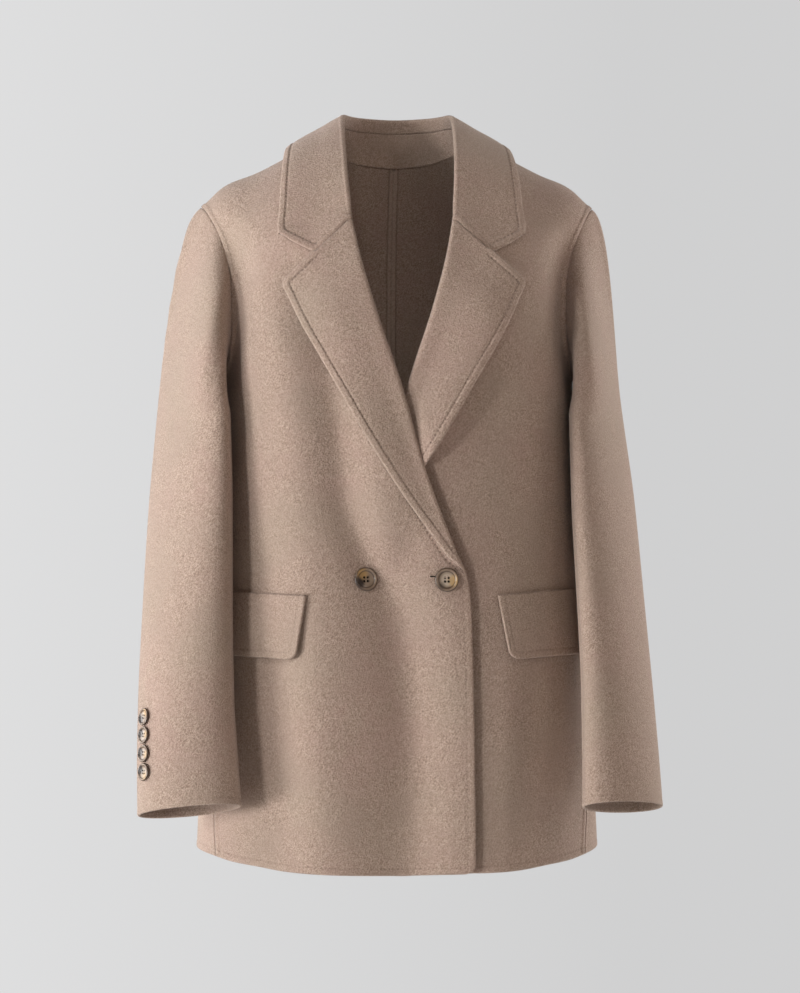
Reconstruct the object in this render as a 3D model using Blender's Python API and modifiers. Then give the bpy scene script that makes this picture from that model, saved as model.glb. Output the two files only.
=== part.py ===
"""Short coat: an unlined, double-breasted wool coat with a notched collar, filled out as when worn.

Metres, +Z up. The wearer faces -Y, so the wearer's right is at -X. The origin is in the middle of
the neck opening, level with the neck seam at the shoulders. Every cloth piece is the middle
surface of a thick wool cloth, lofted from tables of sizes and thickened with Solidify.

Two coordinates lay the body pieces out on the coat's form: `turn`, the angle round the body (0 at
the centre front, 90 at the side, 180 at the centre back), and `z`. Sizes that are the same on both
sides use `out`, the distance from the centre line towards the piece's own side.
"""

import math

import bmesh
import bpy
import numpy as np
from mathutils import Matrix

CLOTH = 0.0026  # thickness of the double-faced wool
SEAM_GAP = 0.0005  # between two pieces at a seam
SHOULDER_GAP = 0.0010  # at the shoulder seam, where the pieces' straight runs differ
LAYER_GAP = 0.0008  # between two layers that lie on each other
FOLD = 0.0020  # radius of the cloth's middle where it folds back at the roll line

HORN_COLOUR = (0.23, 0.15, 0.09, 1)
WOOL_COLOUR = (0.38, 0.29, 0.235, 1)

FRONT_BUTTON = 0.0260  # diameters
CUFF_BUTTON = 0.0180
BUTTON_LEVEL = -0.4230
BUTTON_OUT = 0.0407  # from the centre line to each front button


class Table:
    """Rows of sizes under named columns, read between the rows along a smooth monotone curve."""

    def __init__(self, columns, *rows):
        rows = np.array(sorted(rows))
        self.columns = dict(zip(columns.split(), rows.T))
        self.key = rows[:, 0]

    def at(self, where, column):
        key, value = self.key, self.columns[column]
        step = np.diff(key)
        slope = np.diff(value) / step
        tangent = np.concatenate([slope[:1], (slope[1:] + slope[:-1]) / 2, slope[-1:]])
        for i in range(1, len(key) - 1):
            before, after = slope[i - 1], slope[i]
            if before * after <= 0:
                tangent[i] = 0
            else:
                heavy, light = 2 * step[i] + step[i - 1], step[i] + 2 * step[i - 1]
                tangent[i] = (heavy + light) / (heavy / before + light / after)
        i = np.clip(np.searchsorted(key, where) - 1, 0, len(key) - 2)
        t = np.clip((where - key[i]) / step[i], 0, 1)
        return (
            (1 + 2 * t) * (1 - t) ** 2 * value[i]
            + t * (1 - t) ** 2 * step[i] * tangent[i]
            + t * t * (3 - 2 * t) * value[i + 1]
            + t * t * (t - 1) * step[i] * tangent[i + 1]
        )


# ---- the form: a rounded body with shoulders that close over it
SQUARENESS = 2.3  # 2 makes each level an ellipse
FRONT_DOME = 0.20  # height over which the chest curves up to the shoulder line
BACK_DOME = 0.16
BODY = Table(
    "z half_width front back",
    (-0.735, 0.209, 0.150, 0.138),
    (-0.600, 0.203, 0.149, 0.136),
    (-0.450, 0.193, 0.146, 0.128),
    (-0.330, 0.184, 0.142, 0.119),
    (-0.255, 0.180, 0.141, 0.120),
    (-0.180, 0.183, 0.138, 0.124),
    (-0.120, 0.188, 0.132, 0.124),
    (-0.040, 0.206, 0.119, 0.112),
    (0.060, 0.220, 0.100, 0.100),
)
SHOULDER = Table(
    "out z",
    (0.000, 0.0500),
    (0.040, 0.0440),
    (0.078, 0.0270),
    (0.114, 0.0120),
    (0.150, -0.0060),
    (0.172, -0.0145),
    (0.183, -0.0210),
    (0.194, -0.0310),
    (0.203, -0.0395),
    (0.230, -0.0700),
)

# ---- the lines that bound the pieces
NECK = Table(
    "z out",
    (-0.0615, 0.0520),
    (-0.0320, 0.0620),
    (-0.0050, 0.0690),
    (0.0285, 0.0750),
)
ROLL = Table(
    "z out",
    (-0.7180, 0.0706),
    (-0.6320, 0.0699),
    (-0.4627, 0.0664),
    (-0.4388, 0.0649),
    (-0.4208, 0.0618),
    (-0.4032, 0.0547),
    (-0.3829, 0.0465),
    (-0.3126, 0.0209),
    (-0.2354, -0.0005),
    (-0.1436, -0.0301),
    (-0.0934, -0.0438),
    (-0.0563, -0.0512),
)
GORGE_Z = -0.0615  # the gorge seam starts here on the roll line
BREAK_Z = -0.4205  # the lapel ends here on the roll line
LAPEL_EDGE = (  # out, z: from the lapel's corner down to the break
    (0.1164, -0.1264),
    (0.0995, -0.1626),
    (0.0655, -0.2250),
    (0.0315, -0.2868),
    (0.0020, -0.3350),
    (-0.0300, -0.3800),
    (-0.0500, -0.4085),
    (-0.0590, -0.4210),
)
NOTCH = (0.0861, -0.0945)  # out, z where the gorge seam meets the notch
COLLAR_CORNER = (0.1210, -0.0767)
HEM = Table(
    "out z",
    (0.000, -0.7175),
    (0.070, -0.7150),
    (0.117, -0.7130),
    (0.147, -0.7095),
    (0.173, -0.7065),
    (0.190, -0.7030),
    (0.210, -0.7000),
)
SIDE = Table("z y", (-0.720, -0.0765), (-0.450, -0.0500), (-0.218, -0.0200))
ARMHOLE = Table(  # round the armhole: -180 and 180 at the underarm, 0 at the shoulder
    "angle y z",
    (-180, -0.0200, -0.2180),
    (-150, -0.0440, -0.2000),
    (-120, -0.0580, -0.1640),
    (-90, -0.0540, -0.1220),
    (-60, -0.0410, -0.0790),
    (-30, -0.0235, -0.0555),
    (0, 0.0000, -0.0400),
    (30, 0.0240, -0.0545),
    (60, 0.0400, -0.0780),
    (90, 0.0520, -0.1150),
    (120, 0.0540, -0.1560),
    (150, 0.0300, -0.2000),
    (168, 0.0020, -0.2160),
    (180, -0.0200, -0.2180),
)

ARMHOLE_TOP = (0.2035, -0.0400)  # out, z of the shoulder seam's end
ARMHOLE_MIDDLE = (0.2000, 0.0, -0.1300)  # a point the whole armhole goes round

# ---- the sleeves, as level sections: how far out they reach, their depth and their slant
SLEEVE_RIGHT = Table(
    "z inner outer y depth skew pitch roll",
    (-0.648, 0.1625, 0.2665, -0.1250, 0.0370, 12, 0.250, -0.080),
    (-0.600, 0.1660, 0.2672, -0.1160, 0.0410, 16, 0.200, -0.040),
    (-0.545, 0.1695, 0.2665, -0.1040, 0.0460, 22, 0.150, -0.020),
    (-0.445, 0.1710, 0.2625, -0.0780, 0.0540, 32, 0.080, 0.000),
    (-0.343, 0.1712, 0.2570, -0.0500, 0.0630, 42, 0.040, 0.000),
    (-0.260, 0.1730, 0.2500, -0.0290, 0.0690, 48, 0.000, 0.000),
)
SLEEVE_LEFT = Table(
    "z inner outer y depth skew pitch roll",
    (-0.648, 0.1780, 0.2645, -0.1230, 0.0430, 34, 0.250, 0.030),
    (-0.600, 0.1785, 0.2620, -0.1140, 0.0450, 36, 0.200, 0.015),
    (-0.545, 0.1785, 0.2590, -0.1020, 0.0490, 38, 0.150, 0.000),
    (-0.445, 0.1770, 0.2530, -0.0770, 0.0560, 42, 0.080, 0.000),
    (-0.343, 0.1755, 0.2470, -0.0500, 0.0640, 46, 0.040, 0.000),
    (-0.260, 0.1760, 0.2385, -0.0290, 0.0690, 50, 0.000, 0.000),
)
BICEPS_Z = -0.260  # the sleeve's head joins the armhole to the section at this level

# ---- the collar from its front end (0) to the centre back (1): the crest of its fold and its edge
COLLAR_CREST = Table(
    "along out y z",
    (0.00, 0.0518, -0.1045, -0.0600),
    (0.12, 0.0545, -0.0910, -0.0300),
    (0.27, 0.0565, -0.0700, 0.0020),
    (0.38, 0.0572, -0.0470, 0.0230),
    (0.48, 0.0574, -0.0240, 0.0400),
    (0.57, 0.0565, -0.0010, 0.0500),
    (0.68, 0.0520, 0.0240, 0.0535),
    (0.82, 0.0340, 0.0480, 0.0530),
    (1.00, 0.0000, 0.0560, 0.0520),
)
COLLAR_EDGE = Table(
    "along out y z",
    (0.00, 0.1210, -0.0915, -0.0767),
    (0.12, 0.1190, -0.0805, -0.0530),
    (0.27, 0.1165, -0.0585, -0.0180),
    (0.38, 0.1140, -0.0380, 0.0030),
    (0.48, 0.1105, -0.0130, 0.0165),
    (0.57, 0.1035, 0.0120, 0.0215),
    (0.68, 0.0890, 0.0420, 0.0145),
    (0.82, 0.0560, 0.0755, -0.0020),
    (1.00, 0.0000, 0.0925, -0.0120),
)
COLLAR_SEAM = Table(  # the level of the neck seam under the collar, and how far out it is
    "along z out",
    (0.00, -0.0600, 0.0530),
    (0.12, -0.0300, 0.0626),
    (0.27, -0.0060, 0.0688),
    (0.38, 0.0040, 0.0708),
    (0.48, 0.0165, 0.0730),
    (0.57, 0.0285, 0.0750),
    (0.68, 0.0205, 0.0600),
    (0.82, 0.0130, 0.0350),
    (1.00, 0.0100, 0.0000),
)
BACK_NECK = Table(  # the back's edge under the collar
    "out z",
    (0.000, 0.0100),
    (0.035, 0.0130),
    (0.060, 0.0205),
    (0.075, 0.0285),
)
NECK_MIDDLE = (0.0, -0.010)  # out, y
COLLAR_SHOULDER = 0.57  # here the collar passes over the shoulder seam
STAND_SEAM_DROP = 0.0135  # from the crest down to the seam between leaf and stand

# ---- the pocket flaps: corners as (out, z)
FLAP_TOP_Z = -0.4385
FLAP_DEPTH = 0.0630
FLAP_FRONT_OUT = 0.0935
FLAP_BACK_OUT = 0.1760
FLAP_SLANT = 0.0075  # how far the front edge runs back towards the lower corner
FLAP_CORNER = 0.0110
FLAP_SPRING = 0.0012  # the lower edge stands off by this much more than the top


def polar(turn):
    """The level section's unit shape: how far across and how far forward, at an angle in degrees."""
    angle = np.radians(turn)
    across, forward = np.sin(angle), np.cos(angle)
    size = (np.abs(across) ** SQUARENESS + np.abs(forward) ** SQUARENESS) ** (-1 / SQUARENESS)
    return across * size, forward * size


def form(turn, z):
    """A point of the form's outside, for arrays of turns and levels."""
    turn, z = np.broadcast_arrays(np.asarray(turn, float), np.asarray(z, float))
    across, forward = polar(turn)
    out = BODY.at(z, "half_width") * across
    ahead = forward > 0
    depth = np.where(ahead, BODY.at(z, "front"), BODY.at(z, "back"))
    dome = np.where(ahead, FRONT_DOME, BACK_DOME)
    below = np.clip((SHOULDER.at(np.abs(out), "z") - z) / dome, 0, 1)
    return np.stack([out, -depth * forward * np.sqrt(1 - (1 - below) ** 2), z], axis=-1)


def outward(turn, z):
    """The form's outward direction."""
    dt, dz = 0.2, 0.0006
    round_body = form(turn + dt, z) - form(turn - dt, z)
    down = form(turn, z - dz) - form(turn, z)
    normal = np.cross(down, round_body)
    return normal / np.linalg.norm(normal, axis=-1, keepdims=True)


def turn_of(out, z, back=False):
    """The angle round the body at which the form is this far out at this level."""
    share = np.clip(np.asarray(out) / BODY.at(z, "half_width"), -1, 1)
    forward = (1 - np.abs(share) ** SQUARENESS) ** (1 / SQUARENESS)
    turn = np.degrees(np.arctan2(share, forward))
    return 180 - turn if back else turn


def turn_at(y, z):
    """The angle at which the form is this far forward or back, found by halving."""
    low, high = (0.0, 90.0) if y < 0 else (90.0, 180.0)
    for _ in range(40):
        middle = (low + high) / 2
        if form(middle, z)[1] < y:
            low = middle
        else:
            high = middle
    return (low + high) / 2


def shoulder_level(turn):
    """The level of the shoulder line at an angle, found by settling."""
    z = np.zeros_like(np.asarray(turn, float))
    for _ in range(30):
        z = SHOULDER.at(np.abs(BODY.at(z, "half_width") * polar(turn)[0]), "z")
    return z


def beside_shoulder(turn, away):
    """The level at which the form has come this far forward or back from the shoulder line."""
    line = shoulder_level(turn)
    forward = polar(turn)[1]
    depth = np.where(forward > 0, BODY.at(line, "front"), BODY.at(line, "back"))
    dome = np.where(forward > 0, FRONT_DOME, BACK_DOME)
    share = np.minimum(away / (depth * np.maximum(np.abs(forward), 0.02)), 1)
    return line - dome * (1 - np.sqrt(1 - share**2))


def ease(value, start, end):
    """0 before start, 1 after end, and a smooth step between."""
    t = np.clip((value - start) / (end - start), 0, 1)
    return t * t * (3 - 2 * t)


# ---- how the layers lie over one another at the front
OVERLAP_LIFT = 0.0054  # the right front rises over the left one
UNDERLAP_DROP = 0.0028  # the left front sinks below it


def right_lift(out, z):
    """The right front rises where the left front and its lapel lie under it."""
    return OVERLAP_LIFT * ease(-out, -0.115, -0.055) * ease(-z, 0.110, 0.225)


def left_drop(out, z):
    """The left front is pressed in where the right front covers it."""
    cover = ROLL.at(z, "out")
    cover = np.where(z > -0.2354, np.minimum(cover, -0.0005) - 0.3 * (z + 0.2354), cover)
    return -UNDERLAP_DROP * ease(-out, -(cover + 0.016), -(cover - 0.004))


def layer(side, out, z):
    """Height of a front's outer face over the form: side is -1 for the right front, 1 for the left."""
    return right_lift(out, z) if side < 0 else left_drop(out, z)


def on_front(side, out, z, height):
    """A point over the front of the form, mirrored to its side."""
    turn = turn_of(out, z)
    point = form(turn, z) + outward(turn, z) * np.asarray(height)[..., None]
    return point * np.array([side, 1, 1])


def polyline(points, shares):
    """Points at shares of the length of a polyline."""
    points = np.array(points, float)
    length = np.concatenate([[0], np.cumsum(np.linalg.norm(np.diff(points, axis=0), axis=1))])
    where = np.asarray(shares) * length[-1]
    return np.stack([np.interp(where, length, column) for column in points.T], axis=-1)


# ---- mesh and object helpers
def new_collection(name):
    collection = bpy.data.collections.new(name)
    bpy.context.scene.collection.children.link(collection)
    return collection


def new_material(name, colour, roughness):
    material = bpy.data.materials.new(name)
    material.use_nodes = True
    shader = material.node_tree.nodes["Principled BSDF"]
    shader.inputs["Base Color"].default_value = colour
    shader.inputs["Roughness"].default_value = roughness
    shader.inputs["Metallic"].default_value = 0.0
    material.diffuse_color = colour
    return material


def cloth_piece(name, grid):
    """A cloth piece: the grid's points as an open surface, thickened to both sides.

    A point that isn't part of the piece is NaN, and its quads are left out.
    """
    rows, columns = grid.shape[:2]
    mesh = bpy.data.meshes.new(name)
    shape = bmesh.new()
    here = {}
    for i in range(rows):
        for j in range(columns):
            if not np.isnan(grid[i, j]).any():
                here[i, j] = shape.verts.new(grid[i, j])
    for i in range(rows - 1):
        for j in range(columns - 1):
            corners = [(i, j), (i + 1, j), (i + 1, j + 1), (i, j + 1)]
            if all(corner in here for corner in corners):
                shape.faces.new([here[corner] for corner in corners])
    bmesh.ops.delete(shape, geom=[v for v in shape.verts if not v.link_faces], context="VERTS")
    shape.to_mesh(mesh)
    shape.free()
    piece = bpy.data.objects.new(name, mesh)
    COAT.objects.link(piece)
    mesh.materials.append(WOOL)
    mesh.shade_smooth()
    mesh.set_sharp_from_angle(angle=math.radians(50))
    solid = piece.modifiers.new("cloth thickness", "SOLIDIFY")
    solid.thickness = CLOTH
    solid.offset = 0.0


SEAM_TURN = math.degrees(SEAM_GAP / 2 / 0.19)  # half the seam's gap, as an angle round the body


def side_name(side):
    return "right" if side < 0 else "left"


# ---- rows of the body pieces: the armhole's angle or the side seam's level at the outer border
NARROW = 3.0  # degrees round the armhole: a narrow row keeps the cloth square at the shoulder seam
EDGE_SHARE = 0.012  # the narrow column beside a seam, as a share of the panel's width
SIDE_ROWS = (-0.2520, -0.2860, -0.3200, -0.3540, -0.3870, -0.4205)
LOWER_ROWS = (-0.4600, -0.5120, -0.5640, -0.6160, -0.6680, -0.7200)

# ---- fronts
FRONT_ARMHOLE_ROWS = (  # angle round the armhole, level at the front's inner border
    (0, 0.0285),
    (-NARROW, 0.0281),
    (-20, 0.0200),
    (-42, 0.0000),
    (-64, -0.0307),
    (-86, GORGE_Z),
    (-106, -0.0900),
    (-124, -0.1180),
    (-140, -0.1450),
    (-154, -0.1700),
    (-168, -0.1930),
    (-180, -0.2180),
)
FRONT_COLUMNS = 9
FOLD_STEPS = 3
LAPEL_COLUMNS = 5
LAPEL_SPRING = 0.03  # the lapel's edge stands off the chest by this share of its width
SHOULDER_FOLLOW = (1, 1, 0.7, 0.4)  # how closely the first rows follow the shoulder line


def armhole_level(angle):
    """How far forward or back the armhole is at an angle, and its level."""
    return float(ARMHOLE.at(angle, "y")), float(ARMHOLE.at(angle, "z"))


def border_rows(armhole_rows, back):
    """For each row: its inner level, and the turn and level of its outer border."""
    rows = []
    for angle, inner in armhole_rows:
        y, z = armhole_level(angle)
        turn = turn_of(*ARMHOLE_TOP, back) if angle == 0 else turn_at(y, z)
        rows.append((inner, turn, z))
    rows += [(z, turn_at(SIDE.at(z, "y"), z), z) for z in SIDE_ROWS + LOWER_ROWS]
    return rows


def edge_shares(columns):
    """Even shares across a panel, with a narrow column beside the seam at its start."""
    return np.array([0, EDGE_SHARE, *np.linspace(0, 1, columns + 1)[1:]])


def front_edge_out(z):
    """How far out the front's inner border is at a level: negative across the centre line."""
    return NECK.at(z, "out") if z > GORGE_Z else -ROLL.at(z, "out")


def fold_centre(z):
    """The middle of the roll line's fold, as (out, z), and the direction across the fold."""
    step = 0.004
    ahead = np.array([-ROLL.at(z - step, "out"), z - step])
    behind = np.array([-ROLL.at(z + step, "out"), z + step])
    along = (ahead - behind) / np.linalg.norm(ahead - behind)
    across = np.array([-along[1], along[0]])
    centre = np.array([-ROLL.at(z, "out"), z]) + across * (FOLD + CLOTH / 2)
    return centre, across


def front_grid(side):
    rows = border_rows(FRONT_ARMHOLE_ROWS, back=False)
    levels = [inner for inner, _, _ in rows]
    fold_rows = [i for i, level in enumerate(levels) if BREAK_Z <= level <= GORGE_Z]
    body = edge_shares(FRONT_COLUMNS)
    grid = np.full((len(rows), len(body) + FOLD_STEPS + LAPEL_COLUMNS, 3), np.nan)
    for i, (inner_z, border_turn, outer_z) in enumerate(rows):
        outer_turn = border_turn - SEAM_TURN
        if i in fold_rows:
            (inner_out, inner_level), _ = fold_centre(inner_z)
        else:
            inner_out, inner_level = front_edge_out(inner_z) + CLOTH / 2, inner_z
        inner_turn = turn_of(inner_out, inner_level)
        turn = outer_turn + (inner_turn - outer_turn) * body
        z = outer_z + (inner_level - outer_z) * body
        line = shoulder_level(turn)
        if i == 0:
            z = line
        elif i == 1:
            z[1:] = beside_shoulder(turn, -armhole_level(-NARROW)[0])[1:]
        elif i < len(SHOULDER_FOLLOW):
            straight = line[0] + (line[-1] - line[0]) * body
            z = z + (line - straight) * SHOULDER_FOLLOW[i]
        if i == len(rows) - 1:
            z = HEM.at(np.abs(form(turn, z)[..., 0]), "z")
        out = form(turn, z)[..., 0]
        height = layer(side, out, z) - CLOTH / 2
        point = form(turn, z) + outward(turn, z) * height[..., None]
        grid[i, : len(body)] = point * np.array([side, 1, 1])
    grid[0, : len(body), 1] -= SHOULDER_GAP / 2
    lapel_into(grid, side, levels, fold_rows, len(body) - 1)
    return grid


def roll_share(z):
    """How far down the roll line a level lies, from 0 at the gorge to 1 at the break."""
    levels = np.linspace(GORGE_Z, BREAK_Z, 60)
    points = np.stack([-ROLL.at(levels, "out"), levels], axis=-1)
    length = np.concatenate([[0], np.cumsum(np.linalg.norm(np.diff(points, axis=0), axis=1))])
    return np.interp(-z, -levels, length / length[-1])


def lapel_into(grid, side, levels, fold_rows, last):
    """The fold round the roll line and the lapel beyond it, in the columns after the body's."""
    for i in fold_rows:
        z = levels[i]
        (centre_out, centre_z), across = fold_centre(z)
        share = roll_share(z)
        corner = polyline(LAPEL_EDGE, share)
        base = layer(side, np.asarray(centre_out), centre_z) - CLOTH / 2 + FOLD
        for step in range(1, FOLD_STEPS + 1):
            angle = math.pi * step / FOLD_STEPS
            shift = -across * FOLD * math.sin(angle)
            height = base - FOLD * math.cos(angle)
            grid[i, last + step] = on_front(
                side, centre_out + shift[0], centre_z + shift[1], height
            )
        for step in range(1, LAPEL_COLUMNS + 1):
            share_across = step / LAPEL_COLUMNS
            out = centre_out + (corner[0] - centre_out) * share_across
            level = centre_z + (corner[1] - centre_z) * share_across
            width = math.hypot(corner[0] - centre_out, corner[1] - centre_z)
            spring = LAPEL_SPRING * width * share_across * ease(level, -0.30, -0.18)
            height = layer(side, np.asarray(out), level) - CLOTH / 2 + 2 * FOLD + spring
            grid[i, last + FOLD_STEPS + step] = on_front(side, out, level, height)


def build_front(side):
    cloth_piece(f"front_{side_name(side)}", front_grid(side))


# ---- backs
BACK_ARMHOLE_ROWS = (  # angle round the armhole, level at the centre back
    (0, 0.0100),
    (NARROW, 0.0095),
    (18, 0.0010),
    (40, -0.0160),
    (62, -0.0480),
    (84, -0.0850),
    (106, -0.1250),
    (128, -0.1560),
    (148, -0.1820),
    (165, -0.2000),
    (180, -0.2180),
)
BACK_COLUMNS = 10
NECK_COLUMNS = 3  # of these, how many lie under the neck seam
NECK_POINT = (0.0750, 0.0285)  # out, z where the shoulder seam meets the neck seam


def back_grid(side):
    rows = border_rows(BACK_ARMHOLE_ROWS, back=True)
    share = edge_shares(BACK_COLUMNS)
    corner = len(share) - 1 - NECK_COLUMNS
    neck_turn = float(turn_of(*NECK_POINT, back=True))
    grid = np.full((len(rows), len(share), 3), np.nan)
    for i, (centre_z, border_turn, side_z) in enumerate(rows):
        outer = border_turn + SEAM_TURN
        even = outer + (180 - outer) * share
        top = np.interp(share, [0, share[corner], 1], [outer, neck_turn, 180])
        near = float(ease(side_z, -0.15, -0.041))
        turn = even + (top - even) * near
        z = side_z + (centre_z - side_z) * share
        if near > 0:
            line = shoulder_level(turn)
            out = BODY.at(line, "half_width") * polar(turn)[0]
            neck = BACK_NECK.at(np.clip(out, 0, NECK_POINT[0]), "z")
            line = np.where(turn > neck_turn, neck, line)
            straight = line[0] + (line[-1] - line[0]) * share
            z = z + (line - straight) * near
            z = line if i == 0 else z
            if i == 1:
                z[1:corner] = beside_shoulder(turn, armhole_level(NARROW)[0])[1:corner]
        if i == len(rows) - 1:
            z = HEM.at(np.abs(form(turn, z)[..., 0]), "z")
        grid[i] = form(turn, z) - outward(turn, z) * CLOTH / 2
    grid[0, : corner + 1, 1] += SHOULDER_GAP / 2
    grid[:, -1, 0] = SEAM_GAP / 2
    return grid * np.array([side, 1, 1])


def build_back(side):
    cloth_piece(f"back_{side_name(side)}", back_grid(side))


# ---- collar
COLLAR_STATIONS = (0.0, 0.06, 0.12, 0.20, 0.28, 0.36, 0.44, 0.52, 0.60, 0.68, 0.78, 0.89, 1.0)
LEAF_COLUMNS = 5
LEAF_BULGE = 0.012
LEAF_END_SPRING = 0.002  # the leaf's front corners stand off the front by this much
GORGE_SEAM = 0.0016  # between the middles of the leaf and the lapel at the roll line
INNER_LEAST = 0.0010  # the leaf's inner part is at least this deep
STAND_LIFT = 0.0028  # the stand's lower edge clears the cloth that it is sewn to at an angle
GORGE_GAP = 0.0034  # along the roll line, between the lapel's fold and the collar's
STAND_START = 4  # the station where the stand begins to show below the leaf's own inner part


def unit(vector):
    return vector / np.linalg.norm(vector)


def crest(along):
    return np.array([float(COLLAR_CREST.at(along, name)) for name in ("out", "y", "z")])


def neck_seam(along):
    """The middle of the cloth at the neck seam."""
    out, z = float(COLLAR_SEAM.at(along, "out")), float(COLLAR_SEAM.at(along, "z"))
    back = along > COLLAR_SHOULDER
    turn = turn_of(out, z, back)
    point = form(turn, z) - outward(turn, z) * CLOTH / 2
    return point


def collar_frame(along):
    """The centre of the collar's fold, the way down its stand and the way out, on the left."""
    if along == 0:
        (out, z), across = fold_centre(GORGE_Z + GORGE_GAP)
        turn = turn_of(out, z)
        away = outward(turn, z)
        centre = form(turn, z) + away * (FOLD - CLOTH / 2)
        down = np.array([across[0], 0.0, across[1]])
        return centre, unit(down - away * down.dot(away)), away
    top = crest(along)
    along_crest = unit(crest(min(along + 0.02, 1.0)) - crest(along - 0.02))
    down = neck_seam(along) - top
    down = unit(down - along_crest * down.dot(along_crest))
    away = np.cross(down, along_crest)
    if away.dot(top - np.array([*NECK_MIDDLE, top[2]])) < 0:
        away = -away
    return top + down * FOLD, down, away


def leaf_row(along):
    centre, down, away = collar_frame(along)
    seam = neck_seam(along)
    inner_top = centre - away * FOLD
    reach = np.linalg.norm(seam - inner_top)
    inner_length = min(STAND_SEAM_DROP - FOLD, max(reach - STAND_LIFT, INNER_LEAST))
    way = unit(seam - inner_top) if reach > 2 * INNER_LEAST else down
    points = [inner_top + way * inner_length]
    for step in range(FOLD_STEPS + 1):
        angle = math.pi * step / FOLD_STEPS
        points.append(centre - FOLD * (away * math.cos(angle) + down * math.sin(angle)))
    start = points[-1]
    edge = np.array([float(COLLAR_EDGE.at(along, name)) for name in ("out", "y", "z")])
    bulge = LEAF_BULGE * float(ease(along, 0.0, 0.4))
    for step in range(1, LEAF_COLUMNS + 1):
        share = step / LEAF_COLUMNS
        points.append(start + (edge - start) * share + away * bulge * share * (1 - share))
    if along == 0:
        for step in range(1, LEAF_COLUMNS + 1):
            points[-LEAF_COLUMNS - 1 + step] = collar_end(start, step / LEAF_COLUMNS)
    return np.array(points)


def collar_end(start, share):
    """The leaf's front end: along the gorge seam to the notch, then up to the collar's corner."""
    first = np.array([abs(start[0]), start[2]])
    path = [first, NOTCH, COLLAR_CORNER]
    out, z = polyline(path, share)
    height = 2 * FOLD - CLOTH / 2 + LEAF_END_SPRING * share
    seam_shift = GORGE_SEAM * (1 - 0.6 * share)
    return on_front(1, out - 0.2 * seam_shift, z + seam_shift, height)


def stand_row(along):
    centre, down, away = collar_frame(along)
    inner_top = centre - away * FOLD
    seam = neck_seam(along)
    way = unit(seam - inner_top)
    reach = np.linalg.norm(seam - inner_top)
    top = STAND_SEAM_DROP - FOLD + SEAM_GAP
    bottom = max(reach - STAND_LIFT, top + 0.002)
    return np.array([inner_top + way * (top + (bottom - top) * share) for share in (0, 0.5, 1)])


def both_sides(row_of, stations):
    """Rows from the right front end round the back to the left front end."""
    left = [row_of(along) for along in stations]
    right = [row * np.array([-1, 1, 1]) for row in left]
    left[-1][:, 0] = 0.0
    return np.array(right[:-1] + left[::-1])


def build_collar():
    cloth_piece("collar_leaf", both_sides(leaf_row, COLLAR_STATIONS))
    cloth_piece("collar_stand", both_sides(stand_row, COLLAR_STATIONS[STAND_START:]))


# ---- sleeves
HEAD_ROWS = (0.0, 0.04, 0.14, 0.30, 0.50, 0.75)
SLEEVE_ROWS = (-0.260, -0.302, -0.345, -0.395, -0.445, -0.495, -0.545, -0.595, -0.648)
HEAD_SHARE = 0.35  # of the sleeve's length, above the biceps
SEAM_ANGLE = 0.42  # half the seam's gap, in degrees round the sleeve
SEAM_COLUMN = 3.0  # degrees: the narrow column that keeps the cloth square at a seam
INSEAM_ANGLE = -168.0
BACK_SEAM_ANGLE = 62.0  # at the armhole
CUFF_SEAM_ANGLE = {-1: -12.0, 1: 60.0}  # the back seam turns to here at the cuff
CUFF_Z = SLEEVE_ROWS[-1]


def armhole_start(angle):
    """The sleeve's first point at an angle of the armhole, and the direction it sets off in."""
    y, z = armhole_level(angle)
    if angle == 0:
        point = np.array([ARMHOLE_TOP[0], 0.0, ARMHOLE_TOP[1]])
        normal = unit(np.array([0.62, 0.0, 0.78]))
        along = np.array([0.0, 1.0, 0.0])
    else:
        turn = turn_at(y, z)
        point, normal = form(turn, z), outward(turn, z)
        before, after = armhole_level(angle - 4), armhole_level(angle + 4)
        along = form(turn_at(*after), after[1]) - form(turn_at(*before), before[1])
    onward = unit(np.cross(along, normal))
    if onward.dot(ARMHOLE_MIDDLE - point) < 0:
        onward = -onward
    high = 0.5 * (1 + math.cos(math.radians(angle)))
    way = unit(
        onward * high
        + normal * (0.30 + 0.7 * (1 - high))
        + np.array([0.0, 0.0, -1.0]) * (0.15 + 0.55 * (1 - high))
    )
    low = float(ease(abs(angle), 80, 150))
    bend = math.sqrt(max(1 - way.dot(onward) ** 2, 0))
    aside = (CLOTH / 2 * bend + SEAM_GAP) * (1 - low)
    above = (CLOTH + SEAM_GAP) * low - CLOTH / 2
    return point + normal * above + onward * aside, way


def armhole_between(angle):
    """The same between two rows of the body pieces, so that both follow the same straight runs."""
    angle = (angle + 180) % 360 - 180
    after = min(i for i, node in enumerate(ARMHOLE_NODES) if node >= angle)
    if ARMHOLE_NODES[after] == angle:
        return ARMHOLE_STARTS[after]
    low, high = ARMHOLE_NODES[after - 1], ARMHOLE_NODES[after]
    share = (angle - low) / (high - low)
    (start, way), (next_start, next_way) = ARMHOLE_STARTS[after - 1], ARMHOLE_STARTS[after]
    return start + (next_start - start) * share, unit(way + (next_way - way) * share)


def sleeve_section(table, angle, z):
    """A point of the sleeve's middle surface below the biceps."""
    inner, outer = float(table.at(z, "inner")), float(table.at(z, "outer"))
    half = (outer - inner) / 2
    middle = (outer + inner) / 2
    depth = float(table.at(z, "depth")) - CLOTH / 2
    turn, skew = math.radians(angle), math.radians(float(table.at(z, "skew")))
    across = (half - CLOTH / 2) * math.cos(turn)
    along = depth * math.sin(turn + skew)
    level = z - float(table.at(z, "pitch")) * along + float(table.at(z, "roll")) * across
    return np.array([middle + across, float(table.at(z, "y")) + along, level])


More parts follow.
